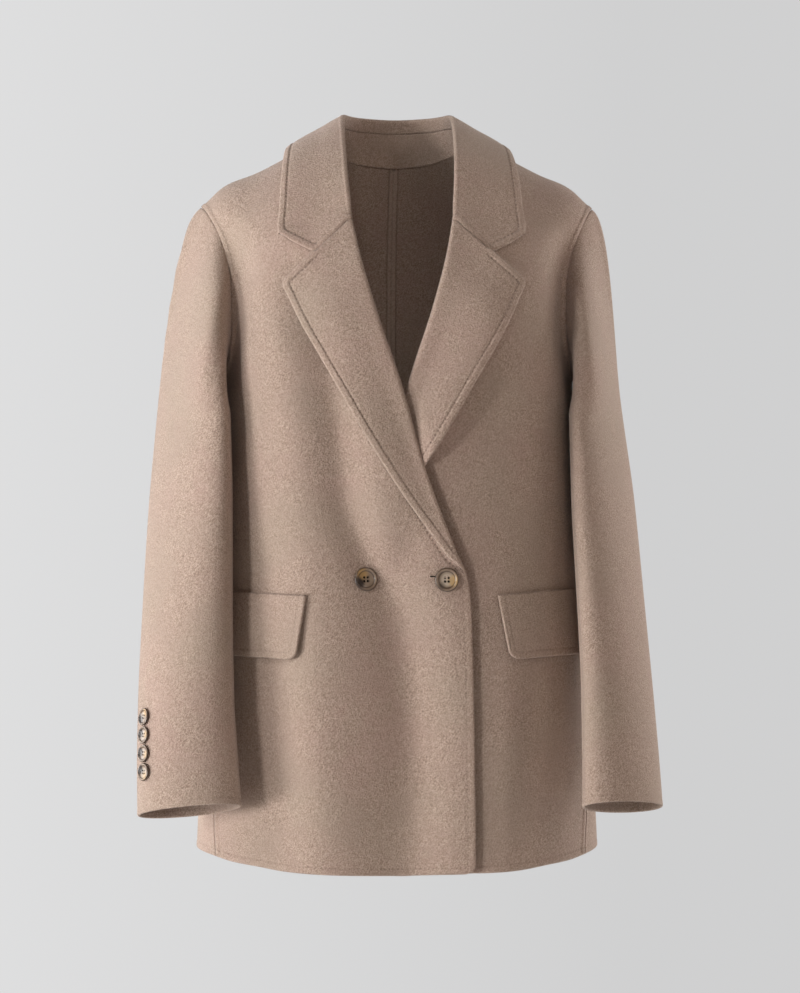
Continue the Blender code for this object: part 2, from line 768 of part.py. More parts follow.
def sleeve_head(table, angle, share):
    """A point of the sleeve's head: a smooth curve from the armhole to the biceps."""
    start, way = armhole_between(angle)
    end = sleeve_section(table, angle, BICEPS_Z)
    below = sleeve_section(table, angle, BICEPS_Z - 0.03)
    length = np.linalg.norm(end - start)
    high = 0.5 * (1 + math.cos(math.radians(angle)))
    leave = way * length * (0.55 - 0.15 * high)
    arrive = unit(below - end) * length * 0.95
    t = share
    return (
        (1 + 2 * t) * (1 - t) ** 2 * start
        + t * (1 - t) ** 2 * leave
        + t * t * (3 - 2 * t) * end
        + t * t * (t - 1) * arrive
    )


def seam_angles(angles):
    """The angles with a narrow column beside each end."""
    step = math.copysign(SEAM_COLUMN, angles[-1] - angles[0])
    return np.array([angles[0], angles[0] + step, *angles[1:-1], angles[-1] - step, angles[-1]])


def sleeve_grid(side, nodes, first_angle, last_angle):
    """The columns leave the armhole at its nodes and are even from the biceps down.

    The angles of the two seams are functions of how far down the sleeve a row is, from 0 to 1.
    """
    table = SLEEVE_RIGHT if side < 0 else SLEEVE_LEFT
    rows = []

    def angles(down):
        first, last = first_angle(down), last_angle(down)
        share = (nodes - nodes[0]) / (nodes[-1] - nodes[0])
        even = np.linspace(0, 1, len(nodes))
        return seam_angles(first + (last - first) * (share + (even - share) * min(down / HEAD_SHARE, 1)))

    for share in HEAD_ROWS:
        rows.append([sleeve_head(table, angle, share) for angle in angles(HEAD_SHARE * share)])
    for z in SLEEVE_ROWS:
        down = HEAD_SHARE + (1 - HEAD_SHARE) * (BICEPS_Z - z) / (BICEPS_Z - CUFF_Z)
        rows.append([sleeve_section(table, angle, z) for angle in angles(down)])
    return np.array(rows) * np.array([side, 1, 1])


def build_sleeve(side):
    def back_seam(down):
        turned = CUFF_SEAM_ANGLE[side] - BACK_SEAM_ANGLE
        return BACK_SEAM_ANGLE + turned * float(ease(down, 0.0, 0.9))

    name = side_name(side)
    nodes = np.array(ARMHOLE_NODES)
    over = nodes[(nodes >= INSEAM_ANGLE) & (nodes <= BACK_SEAM_ANGLE)][::-1]
    behind = nodes[nodes >= BACK_SEAM_ANGLE][::-1] - 360
    below = np.array([INSEAM_ANGLE, *behind])
    top = sleeve_grid(
        side, over, lambda d: back_seam(d) - SEAM_ANGLE, lambda d: INSEAM_ANGLE + SEAM_ANGLE
    )
    under = sleeve_grid(
        side, below, lambda d: INSEAM_ANGLE - SEAM_ANGLE, lambda d: back_seam(d) - 360 + SEAM_ANGLE
    )
    cloth_piece(f"sleeve_top_{name}", top)
    cloth_piece(f"sleeve_under_{name}", under)


# ---- pocket flaps
def build_flap(side):
    rows, columns = 5, 8
    grid = np.zeros((rows + 1, columns + 1, 3))
    for j in range(columns + 1):
        share = j / columns
        share = share**1.5  # closer columns round the front corner
        for i in range(rows + 1):
            down = 1 - (1 - i / rows) ** 1.4
            front_out = FLAP_FRONT_OUT + FLAP_SLANT * down
            out = front_out + (FLAP_BACK_OUT - front_out) * share
            inside = min((out - front_out) / FLAP_CORNER, 1)
            bottom = FLAP_DEPTH - FLAP_CORNER * (1 - math.sqrt(1 - (1 - inside) ** 2))
            z = FLAP_TOP_Z - bottom * down
            height = layer(side, np.asarray(out), z) + LAYER_GAP + CLOTH / 2 + FLAP_SPRING * down
            grid[i, j] = on_front(side, out, z, height)
    cloth_piece(f"flap_{side_name(side)}", grid)


# ---- buttons
BUTTON_PROFILE = (  # shares of the radius: out, height
    (0.00, 0.21),
    (0.52, 0.21),
    (0.66, 0.31),
    (0.80, 0.35),
    (0.93, 0.29),
    (1.00, 0.17),
    (0.94, 0.06),
    (0.72, 0.00),
    (0.00, 0.00),
)
HOLE_OUT = 0.24
HOLE_RADIUS = 0.085


def button_mesh(diameter, segments):
    """A turned horn button: a raised rim, a sunken middle and four holes through it."""
    r = diameter / 2
    mesh = bpy.data.meshes.new("button profile")
    edges = [(i, i + 1) for i in range(len(BUTTON_PROFILE) - 1)]
    mesh.from_pydata([(out * r, 0, height * r) for out, height in BUTTON_PROFILE], edges, [])
    turned = bpy.data.objects.new("button turned", mesh)
    GUIDES.objects.link(turned)
    screw = turned.modifiers.new("turn", "SCREW")
    screw.steps = screw.render_steps = segments
    screw.use_merge_vertices = True
    screw.merge_threshold = 0.00001
    drill = bmesh.new()
    hole = HOLE_RADIUS * r
    for i in range(4):
        angle = math.radians(45 + 90 * i)
        made = bmesh.ops.create_cone(
            drill, cap_ends=True, segments=8, radius1=hole, radius2=hole, depth=2 * r
        )
        offset = (HOLE_OUT * r * math.cos(angle), HOLE_OUT * r * math.sin(angle), 0)
        bmesh.ops.translate(drill, vec=offset, verts=made["verts"])
    drill_mesh = bpy.data.meshes.new("button drill")
    drill.to_mesh(drill_mesh)
    drill.free()
    drills = bpy.data.objects.new("button drill", drill_mesh)
    GUIDES.objects.link(drills)
    cut = turned.modifiers.new("holes", "BOOLEAN")
    cut.operation = "DIFFERENCE"
    cut.object = drills
    bpy.context.view_layer.update()
    graph = bpy.context.evaluated_depsgraph_get()
    finished = bpy.data.meshes.new_from_object(turned.evaluated_get(graph))
    finished.materials.clear()
    finished.materials.append(HORN)
    finished.shade_smooth()
    finished.set_sharp_from_angle(angle=math.radians(35))
    for helper in (turned, drills):
        bpy.data.objects.remove(helper, do_unlink=True)
    return finished


def place_button(name, mesh, point, facing):
    button = bpy.data.objects.new(name, mesh)
    COAT.objects.link(button)
    up = np.array([0.0, 0.0, 1.0])
    across = unit(np.cross(up, facing))
    upright = np.cross(facing, across)
    turned = Matrix(np.stack([across, upright, facing], axis=1).tolist())
    button.matrix_world = Matrix.Translation(point) @ turned.to_4x4()
    return button


def build_front_buttons():
    """Both show on the right front, which laps over: one on each side of the centre line."""
    mesh = button_mesh(FRONT_BUTTON, 28)
    for side in (-1, 1):
        out = -side * BUTTON_OUT  # measured towards the right front's own side
        turn = turn_of(out, BUTTON_LEVEL)
        height = float(right_lift(out, BUTTON_LEVEL)) + SEAM_GAP
        point = form(turn, BUTTON_LEVEL) + outward(turn, BUTTON_LEVEL) * height
        mirror = np.array([-1, 1, 1])
        facing = outward(turn, BUTTON_LEVEL) * mirror
        place_button(f"button_front_{side_name(side)}", mesh, point * mirror, unit(facing))


CUFF_BUTTON_LEVELS = (-0.561, -0.579, -0.597, -0.615)
CUFF_BUTTON_BEFORE_SEAM = 21.0  # degrees round the sleeve


def build_cuff_buttons(side):
    mesh = button_mesh(CUFF_BUTTON, 20)
    table = SLEEVE_RIGHT if side < 0 else SLEEVE_LEFT
    angle = CUFF_SEAM_ANGLE[side] - CUFF_BUTTON_BEFORE_SEAM
    for number, level in enumerate(CUFF_BUTTON_LEVELS, 1):
        point = sleeve_section(table, angle, level)
        around = sleeve_section(table, angle + 2, level) - sleeve_section(table, angle - 2, level)
        down = sleeve_section(table, angle, level - 0.004) - sleeve_section(table, angle, level + 0.004)
        facing = unit(np.cross(around, down))
        if facing[0] < 0:
            facing = -facing
        point = point + facing * (CLOTH / 2 + SEAM_GAP)
        mirror = np.array([side, 1, 1])
        name = f"button_cuff_{side_name(side)}_{number}"
        place_button(name, mesh, point * mirror, facing * mirror)


ARMHOLE_NODES = sorted(
    {float(angle) for angle, _ in FRONT_ARMHOLE_ROWS + BACK_ARMHOLE_ROWS if abs(angle) != NARROW}
)
ARMHOLE_STARTS = [armhole_start(angle) for angle in ARMHOLE_NODES]

# ---- the coat
for old in list(bpy.data.objects):
    bpy.data.objects.remove(old, do_unlink=True)
COAT = new_collection("short coat")
GUIDES = new_collection("guides")
WOOL = new_material("wool", WOOL_COLOUR, 0.95)
HORN = new_material("horn", HORN_COLOUR, 0.3)
for wearer_side in (-1, 1):
    build_front(wearer_side)
    build_back(wearer_side)
    build_sleeve(wearer_side)
    build_flap(wearer_side)
    build_cuff_buttons(wearer_side)
build_collar()
build_front_buttons()
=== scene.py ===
# %% [markdown]
# # A short wool coat, made again in cloth and horn
#
# The coat is unlined and double-breasted, in a brushed double-faced wool, and it is shown filled
# out with nobody in it. The solid model gives its frame: where each panel, flap and button is.
# Here every cloth piece is made again as a fine thin shell on the same form, with soft edges,
# stitching and folds, and every button is turned again with its rim, dish and thread.
# Sizes are in metres, +Z is up, and the wearer faces -Y, so the wearer's right is at -X.

import math

import bpy
import numpy as np
from mathutils import Matrix, Vector


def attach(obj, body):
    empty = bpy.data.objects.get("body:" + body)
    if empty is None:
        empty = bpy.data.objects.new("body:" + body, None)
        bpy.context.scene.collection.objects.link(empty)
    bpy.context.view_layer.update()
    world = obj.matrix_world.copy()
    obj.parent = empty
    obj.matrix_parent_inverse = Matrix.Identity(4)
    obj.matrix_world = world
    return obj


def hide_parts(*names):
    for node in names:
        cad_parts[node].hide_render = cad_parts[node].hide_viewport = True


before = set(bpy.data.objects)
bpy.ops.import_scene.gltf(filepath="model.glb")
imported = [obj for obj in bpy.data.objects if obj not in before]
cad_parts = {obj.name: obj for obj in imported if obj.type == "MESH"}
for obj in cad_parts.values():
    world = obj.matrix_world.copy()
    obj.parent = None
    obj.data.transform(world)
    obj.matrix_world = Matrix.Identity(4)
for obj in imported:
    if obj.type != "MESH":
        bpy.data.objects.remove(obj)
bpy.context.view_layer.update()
bpy.ops.object.select_all(action="DESELECT")

# %% [markdown]
# ## Camera
#
# The camera is level and a little to the wearer's right, which is why slightly more of that
# sleeve's outside shows. A long lens keeps the coat's proportions flat. The three numbers below
# are where it looks, how far away it stands and how far round it has walked.

# %% Camera
LOOK_AT = Vector((0.003, 0.0, -0.3396))
CAMERA_DISTANCE = 3.5
CAMERA_TURN = 3.0  # degrees towards the wearer's right

turned = math.radians(CAMERA_TURN)
ahead = Vector((math.sin(turned), math.cos(turned), 0))
lens = bpy.data.cameras.new("camera")
lens.lens = 122.0
lens.sensor_width = 36.0
lens.clip_end = 50.0
camera = bpy.data.objects.new("camera", lens)
bpy.context.scene.collection.objects.link(camera)
camera.location = LOOK_AT - ahead * CAMERA_DISTANCE
camera.rotation_euler = (math.radians(90), 0, -turned)
bpy.context.scene.camera = camera
print("camera at", [round(v, 3) for v in camera.location])

# %% [markdown]
# ## Light and floor
#
# Wool looks soft when its light is soft, and its folds show when that light comes from one side.
# Four panels on the left, low, high, beside and in front, do most of the work. Weak warm ones in
# front, above and on the right keep the far sleeve from going dark, a white one behind it draws
# its edge, and a narrow spot reaches inside the neck. The pale surroundings fill the rest.
# The coat hangs at the height of a standing wearer's shoulders, over a pale floor.

# %% Light and floor
FLOOR_Z, FLOOR_RADIUS = -1.42, 3.2
WHITE, WARM = (1, 1, 1), (1.0, 0.87, 0.78)
PANELS = (  # name, place, what it looks at, size, power, colour
    ("low key", (-3.2, -1.15, -0.9), (0, 0, -0.40), (0.9, 0.9), 68, WHITE),
    ("high key", (-2.7, -1.30, 1.6), (0, 0, -0.30), (0.9, 0.9), 33, WHITE),
    ("side", (-2.6, 0.90, 0.1), (-0.2, 0, -0.35), (1.0, 1.8), 31, WHITE),
    ("front key", (-2.4, -2.2, -0.1), (0, 0, -0.35), (0.4, 0.4), 32, WHITE),
    ("front", (0.6, -3.2, -0.3), (0, 0, -0.35), (1.6, 1.6), 12, WARM),
    ("top fill", (2.2, -1.8, 1.9), (0, 0, -0.20), (1.0, 1.0), 12, WARM),
    ("fill", (3.1, -0.4, 0.1), (0, 0, -0.40), (1.4, 1.8), 16, WARM),
    ("rim", (2.6, 1.2, 0.1), (0, 0, -0.40), (1.4, 1.8), 52, WHITE),
)


def set_light(data, place, target):
    """Put a light in its place and aim it."""
    light = bpy.data.objects.new(data.name, data)
    bpy.context.scene.collection.objects.link(light)
    light.location = place
    aim = Vector(target) - Vector(place)
    light.rotation_euler = aim.to_track_quat("-Z", "Y").to_euler()


for name, place, target, size, power, colour in PANELS:
    panel = bpy.data.lights.new(name, "AREA")
    panel.shape = "RECTANGLE"
    panel.size, panel.size_y = size
    panel.energy, panel.color = power, colour
    set_light(panel, place, target)
spot = bpy.data.lights.new("neck", "SPOT")
spot.energy, spot.shadow_soft_size = 130, 0.30
spot.spot_size, spot.spot_blend = math.radians(8), 1.0
set_light(spot, (-0.22, -1.75, 0.80), (0.01, 0.04, 0.065))
print("lights:", [light.name for light in bpy.data.lights])

world = bpy.data.worlds.new("studio")
bpy.context.scene.world = world
world.use_nodes = True


def studio_wall(tree):
    """Pale behind the coat, a little lighter on the key's side, and dim in front of it."""
    place = tree.nodes.new("ShaderNodeTexCoord").outputs["Generated"]
    split = tree.nodes.new("ShaderNodeSeparateXYZ")
    tree.links.new(place, split.inputs[0])
    steps = []
    for axis, *values in (("X", -0.12, 0.12, 0.76, 0.63), ("Y", -0.2, 0.8, 0.03, 1.0)):
        step = tree.nodes.new("ShaderNodeMapRange")
        tree.links.new(split.outputs[axis], step.inputs[0])
        for socket, value in zip(step.inputs[1:5], values):
            socket.default_value = value
        steps.append(step.outputs[0])
    both = tree.nodes.new("ShaderNodeMath")
    both.operation = "MULTIPLY"
    for k in (0, 1):
        tree.links.new(steps[k], both.inputs[k])
    background = tree.nodes["Background"]
    tree.links.new(both.outputs[0], background.inputs["Strength"])
    background.inputs["Color"].default_value = (1, 1, 1.005, 1)


studio_wall(world.node_tree)
bpy.context.scene.view_settings.view_transform = "Standard"

bpy.ops.mesh.primitive_circle_add(
    vertices=96, radius=FLOOR_RADIUS, fill_type="NGON", location=(0, 0, FLOOR_Z)
)
floor = bpy.context.object
floor.name = "floor"
pale = bpy.data.materials.new("pale floor")
pale.use_nodes = True
surface = pale.node_tree.nodes["Principled BSDF"].inputs
surface["Base Color"].default_value = (0.72, 0.72, 0.72, 1)
surface["Roughness"].default_value = 0.9
floor.data.materials.append(pale)
bpy.ops.object.select_all(action="DESELECT")

# %% [markdown]
# ## Tables of sizes
#
# A tailor keeps a form's sizes as a list of girths at known heights, and so does this script. A
# `Table` holds a few rows of sizes under named columns and reads smoothly between them. The curve
# it uses never overshoots its rows, so a table that only grows gives a form that only grows.
# `table` makes one from plain text: a line of names, then the rows.

# %% Tables


def bend(t, start, leave, end, arrive):
    """A smooth way from start to end that leaves and arrives with the given slopes."""
    return (
        (1 + 2 * t) * (1 - t) ** 2 * start
        + t * (1 - t) ** 2 * leave
        + t * t * (3 - 2 * t) * end
        + t * t * (t - 1) * arrive
    )


class Table:
    def __init__(self, columns, rows):
        rows = np.array(rows, float)
        rows = rows[np.argsort(rows[:, 0])]
        self.key = rows[:, 0]
        self.columns = {}
        for name, value in zip(columns.split(), rows.T):
            self.columns[name] = (value, self.slopes(value))

    def slopes(self, value):
        step = np.diff(self.key)
        slope = np.diff(value) / step
        tangent = np.concatenate([slope[:1], (slope[1:] + slope[:-1]) / 2, slope[-1:]])
        for i in range(1, len(self.key) - 1):
            before, after = slope[i - 1], slope[i]
            if before * after <= 0:
                tangent[i] = 0
            else:
                heavy, light = 2 * step[i] + step[i - 1], step[i] + 2 * step[i - 1]
                tangent[i] = (heavy + light) / (heavy / before + light / after)
        return tangent

    def at(self, where, column):
        key, (value, tangent) = self.key, self.columns[column]
        i = np.clip(np.searchsorted(key, where) - 1, 0, len(key) - 2)
        step = key[i + 1] - key[i]
        t = np.clip((where - key[i]) / step, 0, 1)
        return bend(t, value[i], step * tangent[i], value[i + 1], step * tangent[i + 1])


def table(text):
    names, *rows = text.strip().splitlines()
    return Table(names, [row.split() for row in rows])


def stacked(*values):
    """Coordinates side by side, as points."""
    return np.stack(values, axis=-1)


def run_of(points):
    """How far along a line of points each of them is."""
    return np.concatenate([[0], np.cumsum(np.linalg.norm(np.diff(points, axis=0), axis=1))])


def smooth_path(points):
    """A smooth line through a few points in a plane, read by the share of its length."""
    points = np.array(points, float)
    share = run_of(points)
    path = Table("share a b", np.column_stack([share / share[-1], points]))
    return lambda share: stacked(path.at(share, "a"), path.at(share, "b"))


def ease(value, start, end):
    """0 before start, 1 after end, and a smooth step between."""
    t = np.clip((value - start) / (end - start), 0, 1)
    return t * t * (3 - 2 * t)


def hump(value, middle, width):
    """1 at the middle, fading smoothly to nothing on both sides."""
    return np.exp(-(((value - middle) / width) ** 2))


# %% [markdown]
# ## The form
#
# With nobody inside, the coat still keeps the shape of a chest, a waist and a pair of shoulders.
# Each level of the form is a rounded rectangle: `turn` goes round it, from 0 at the centre front
# past 90 at the side to 180 at the centre back. Above the chest the depth closes in a dome until
# it meets the shoulder line, so the top of the form is a ridge, as a shoulder seam is.

# %% The form's sizes
CLOTH = 0.0026
FOLD = 0.0020  # radius of the cloth's middle where it folds back
SEAM_GAP = 0.0005
SIDES = {-1: "right", 1: "left"}  # the wearer's
SQUARENESS = 2.3
FRONT_DOME, BACK_DOME = 0.20, 0.16
BODY = table("""
z half_width front back
-0.735 0.209 0.150 0.138
-0.600 0.203 0.149 0.136
-0.450 0.193 0.146 0.128
-0.330 0.184 0.142 0.119
-0.255 0.180 0.141 0.120
-0.180 0.183 0.138 0.124
-0.120 0.188 0.132 0.124
-0.040 0.206 0.119 0.112
0.060 0.220 0.100 0.100
""")
SHOULDER = table("""
out z
0.000 0.0500
0.040 0.0440
0.078 0.0270
0.114 0.0120
0.150 -0.0060
0.172 -0.0145
0.183 -0.0210
0.194 -0.0310
0.203 -0.0395
0.230 -0.0700
""")
NECK = table("""
z out
-0.0615 0.0520
-0.0320 0.0620
-0.0050 0.0690
0.0285 0.0750
""")
ROLL = table("""
z out
-0.7180 0.0706
-0.6320 0.0699
-0.4627 0.0664
-0.4388 0.0649
-0.4208 0.0618
-0.4032 0.0547
-0.3829 0.0465
-0.3126 0.0209
-0.2354 -0.0005
-0.1436 -0.0301
-0.0934 -0.0438
-0.0563 -0.0512
""")
HEM = table("""
out z
0.000 -0.7175
0.070 -0.7150
0.117 -0.7130
0.147 -0.7095
0.173 -0.7065
0.190 -0.7030
0.210 -0.7000
""")
SIDE = table("""
z y
-0.720 -0.0765
-0.450 -0.0500
-0.218 -0.0200
""")
ARMHOLE = table("""
angle y z
-180 -0.0200 -0.2180
-150 -0.0440 -0.2000
-120 -0.0580 -0.1640
-90 -0.0540 -0.1220
-60 -0.0410 -0.0790
-30 -0.0235 -0.0555
0 0.0000 -0.0400
30 0.0240 -0.0545
60 0.0400 -0.0780
90 0.0520 -0.1150
120 0.0540 -0.1560
150 0.0300 -0.2000
168 0.0020 -0.2160
180 -0.0200 -0.2180
""")
ARMHOLE_TOP = (0.2035, -0.0400)
ARMHOLE_MIDDLE = (0.2000, 0.0, -0.1300)
UNDERARM_Z = -0.2180
GORGE_Z = -0.0615  # the gorge seam starts here on the roll line
BREAK_Z = -0.4205  # the lapel ends here on the roll line
print("levels of the form:", len(BODY.key), "and of the roll line:", len(ROLL.key))

# %% The form's surface


def polar(turn):
    angle = np.radians(turn)
    across, forward = np.sin(angle), np.cos(angle)
    size = (np.abs(across) ** SQUARENESS + np.abs(forward) ** SQUARENESS) ** (-1 / SQUARENESS)
    return across * size, forward * size


def form(turn, z):
    """Points on the outside of the form."""
    turn, z = np.broadcast_arrays(np.asarray(turn, float), np.asarray(z, float))
    across, forward = polar(turn)
    out = BODY.at(z, "half_width") * across
    front = forward > 0
    depth = np.where(front, BODY.at(z, "front"), BODY.at(z, "back"))
    dome = np.where(front, FRONT_DOME, BACK_DOME)
    below = np.clip((SHOULDER.at(np.abs(out), "z") - z) / dome, 0, 1)
    return stacked(out, -depth * forward * np.sqrt(1 - (1 - below) ** 2), z)


def unit(vector):
    return vector / np.linalg.norm(vector, axis=-1, keepdims=True)


def outward(turn, z):
    dt, dz = 0.2, 0.0006
    round_body = form(turn + dt, z) - form(turn - dt, z)
    return unit(np.cross(form(turn, z - dz) - form(turn, z), round_body))


def turn_of(out, z, back=False):
    """Where the form is this far out from the centre line."""
    share = np.clip(np.asarray(out) / BODY.at(z, "half_width"), -1, 1)
    forward = (1 - np.abs(share) ** SQUARENESS) ** (1 / SQUARENESS)
    turn = np.degrees(np.arctan2(share, forward))
    return 180 - turn if back else turn


def turn_at(y, z):
    """Where the form is this far forward or back, found by halving."""
    y, z = np.broadcast_arrays(np.asarray(y, float), np.asarray(z, float))
    low, high = np.where(y < 0, 0.0, 90.0), np.where(y < 0, 90.0, 180.0)
    for _ in range(40):
        middle = (low + high) / 2
        less = form(middle, z)[..., 1] < y
        low, high = np.where(less, middle, low), np.where(less, high, middle)
    return (low + high) / 2


def shoulder_level(turn):
    z = np.zeros_like(np.asarray(turn, float))
    for _ in range(30):
        z = SHOULDER.at(np.abs(BODY.at(z, "half_width") * polar(turn)[0]), "z")
    return z


waist = run_of(form(np.linspace(0, 360, 721), -0.33))
print("girth of the form at the waist, m:", round(float(waist[-1]), 3))

# %% [markdown]
# ## One way to make every cloth piece
#
# A piece of cloth is a surface with a little thickness, so each one starts as a grid of points in
# the middle of the cloth. Blender's Solidify could thicken it, but it makes the same square rim
# everywhere. Here both faces and a round rim are laid out in code instead, because the thickness
# has to change: this wool is turned in along its free edges and sewn through a few millimetres
# in, so the edge is a soft raised lip with a groove behind it.
#
# Every point also remembers how far it is from the nearest free edge and the nearest seam. The
# wool material reads those numbers to draw stitches and creases exactly along the edges, with
# painted shade in them and a painted highlight on felled strips.

# %% Sizes of edges and seams
LIP_WIDTH, LIP_RISE = 0.0058, 0.0007  # from a free edge to its line of stitches
GROOVE, GROOVE_WIDTH = 0.0006, 0.0012
WELT_RISE, WELT_START, WELT_END = 0.0009, 0.0036, 0.0058
FELLED, FELLED_RISE, FELLED_STEP = 0.0042, 0.0011, 0.0006  # a seam pressed open and sewn down
FADE_IN = 0.005  # over this length a line of stitches begins
RIM_STEPS, SEWN_RIM = 3, 0.4  # a rim is round at a free edge and flatter in a seam
FIELDS = ("edge_away", "edge_run", "edge_sewn", "seam_away", "felled_away")
made_cloth = {}
print("numbers kept at every point:", ", ".join(FIELDS))

# %% Distances to edges and seams


def near_line(points, line):
    """Each point's distance from a line of points, and how far along the line that is."""
    start, step = line[:-1], np.diff(line, axis=0)
    length = np.linalg.norm(step, axis=1)
    start, step, length = start[length > 1e-7], step[length > 1e-7], length[length > 1e-7]
    run = np.concatenate([[0], np.cumsum(length)])[:-1]
    away, along = np.full(len(points), 1.0), np.zeros(len(points))
    # Small groups of points keep the table of all distances small.
    for chunk in np.array_split(np.arange(len(points)), max(1, len(points) // 3000)):
        delta = points[chunk, None] - start[None]
        t = np.clip((delta * step).sum(-1) / length**2, 0, 1)
        gap = np.linalg.norm(delta - t[..., None] * step, axis=-1)
        best = gap.argmin(axis=1)
        pick = np.arange(len(chunk))
        away[chunk] = gap[pick, best]
        along[chunk] = run[best] + t[pick, best] * length[best]
    return away, along


def nearest(points, lines):
    """The same for several lines at once, and which of them is nearest."""
    away, along = np.full(len(points), 1.0), np.zeros(len(points))
    which = np.zeros(len(points), int)
    for number, line in enumerate(lines):
        a, b = near_line(points, line)
        closer = a < away
        away, along = np.where(closer, a, away), np.where(closer, b, along)
        which = np.where(closer, number, which)
    return away, along, which


# %% Cloth from a grid


def write_field(mesh, field, value):
    """One number at every point of a mesh, for its material to read."""
    attribute = mesh.attributes.new(field, "FLOAT", "POINT")
    attribute.data.foreach_set("value", value.astype(np.float32))


def cloth(name, grid, facing, edges=(), seams=(), welts=(), felled=()):
    """A closed shell round a grid of middle points. Absent points are NaN.

    facing is (row, column, direction): there the outer face looks that way. edges are lines of
    points, each with how clearly its stitches show, and a third value where they fade in at its
    start; seams get a crease, welts a raised strip on the outer face, and felled seams a flat
    strip on the inner one. The piece, its flat size and its area are kept for the end of the
    script.
    """
    here = ~np.isnan(grid).any(axis=-1)
    number = np.full(here.shape, -1)
    corner = [(slice(0, -1), slice(0, -1)), (slice(1, None), slice(0, -1)),
              (slice(1, None), slice(1, None)), (slice(0, -1), slice(1, None))]
    whole = here[corner[0]] & here[corner[1]] & here[corner[2]] & here[corner[3]]
    used = np.zeros_like(here)
    for place in corner:
        used[place] |= whole
    number[used] = np.arange(used.sum())
    point = grid[used]
    quad = np.stack([number[place][whole] for place in corner], axis=-1)

    def crossed(quads):
        """A vector square to each face and twice as long as the face is large."""
        corners = [point[quads[:, k]] for k in range(4)]
        return np.cross(corners[2] - corners[0], corners[3] - corners[1])

    def point_normals():
        normal = crossed(quad)
        total = np.zeros_like(point)
        for k in range(4):
            np.add.at(total, quad[:, k], normal)
        return total / np.maximum(np.linalg.norm(total, axis=1, keepdims=True), 1e-12)

    i, j, direction = facing
    if point_normals()[number[i, j]] @ np.array(direction, float) < 0:
        quad = quad[:, ::-1]
    normal = point_normals()
    edge_away, edge_run, which = nearest(point, [line for line, *_ in edges])
    sewn = np.array([strength for _, strength, *_ in edges] or [0.0])[which]
    begins = np.array([len(edge) > 2 for edge in edges] or [False])[which]
    sewn = sewn * np.where(begins, ease(edge_run, 0.0, FADE_IN), 1.0)
    seam_away = nearest(point, seams)[0]
    half = CLOTH / 2 + LIP_RISE * sewn * (1 - ease(edge_away, 0.7 * LIP_WIDTH, 1.1 * LIP_WIDTH))
    half = half - GROOVE * sewn * hump(edge_away, LIP_WIDTH, GROOVE_WIDTH)
    over = half + WELT_RISE * (1 - ease(nearest(point, welts)[0], WELT_START, WELT_END))
    felled_away = nearest(point, felled)[0]
    strip = 1 - ease(felled_away, FELLED - FELLED_STEP, FELLED + FELLED_STEP)
    half = half + FELLED_RISE * strip

    start, end = quad.ravel(), np.roll(quad, -1, axis=1).ravel()
    size = len(point)
    keys, back_keys = start * size + end, end * size + start
    rim = ~np.isin(keys, back_keys)
    a, b = start[rim], end[rim]
    face = np.repeat(np.arange(len(quad)), 4)[rim]
    aside = unit(np.cross(point[b] - point[a], unit(crossed(quad[face]))))
    beside = np.zeros_like(point)
    np.add.at(beside, a, aside)
    np.add.at(beside, b, aside)
    border = np.unique(a)
    beside = unit(beside[border])
    ring = np.full(size, -1)
    ring[border] = np.arange(len(border))

    points = [point + normal * over[:, None], point - normal * half[:, None]]
    values = [stacked(edge_away, edge_run, sewn, seam_away, felled_away)] * 2
    free = np.where(edge_away[border] < 1e-5, 1.0, SEWN_RIM)
    for k in range(1, RIM_STEPS + 1):
        angle = math.pi * k / (RIM_STEPS + 1)
        high = (over if k <= RIM_STEPS / 2 else half)[border]
        points.append(
            point[border]
            + normal[border] * (high * math.cos(angle))[:, None]
            + beside * (half[border] * free * math.sin(angle))[:, None]
        )
        values.append(values[0][border])
    first = [2 * size + k * len(border) for k in range(RIM_STEPS)]
    chain_a = [a, *(f + ring[a] for f in first), size + a]
    chain_b = [b, *(f + ring[b] for f in first), size + b]
    faces = [quad, quad[:, ::-1] + size]
    for k in range(RIM_STEPS + 1):
        faces.append(stacked(chain_b[k], chain_a[k], chain_a[k + 1], chain_b[k + 1]))
    points, faces, values = np.concatenate(points), np.concatenate(faces), np.concatenate(values)

    mesh = bpy.data.meshes.new(name)
    mesh.from_pydata(points.tolist(), [], faces.tolist())
    for field, value in zip(FIELDS, values.T):
        write_field(mesh, field, value)
    mesh.materials.append(WOOL)
    mesh.shade_smooth()
    piece = bpy.data.objects.new(name, mesh)
    bpy.context.scene.collection.objects.link(piece)
    area = float(np.linalg.norm(crossed(quad), axis=1).sum() / 2)
    across = np.nansum(np.linalg.norm(np.diff(grid, axis=1), axis=-1), axis=1).max()
    down = np.nansum(np.linalg.norm(np.diff(grid, axis=0), axis=-1), axis=0).max()
    flat = (round(float(across), 3), round(float(down), 3))
    made_cloth[name] = (piece, flat, round(min(area, flat[0] * flat[1]), 4))
    print(name, len(faces) * 2, "triangles, cut area", round(area, 4), "m2")
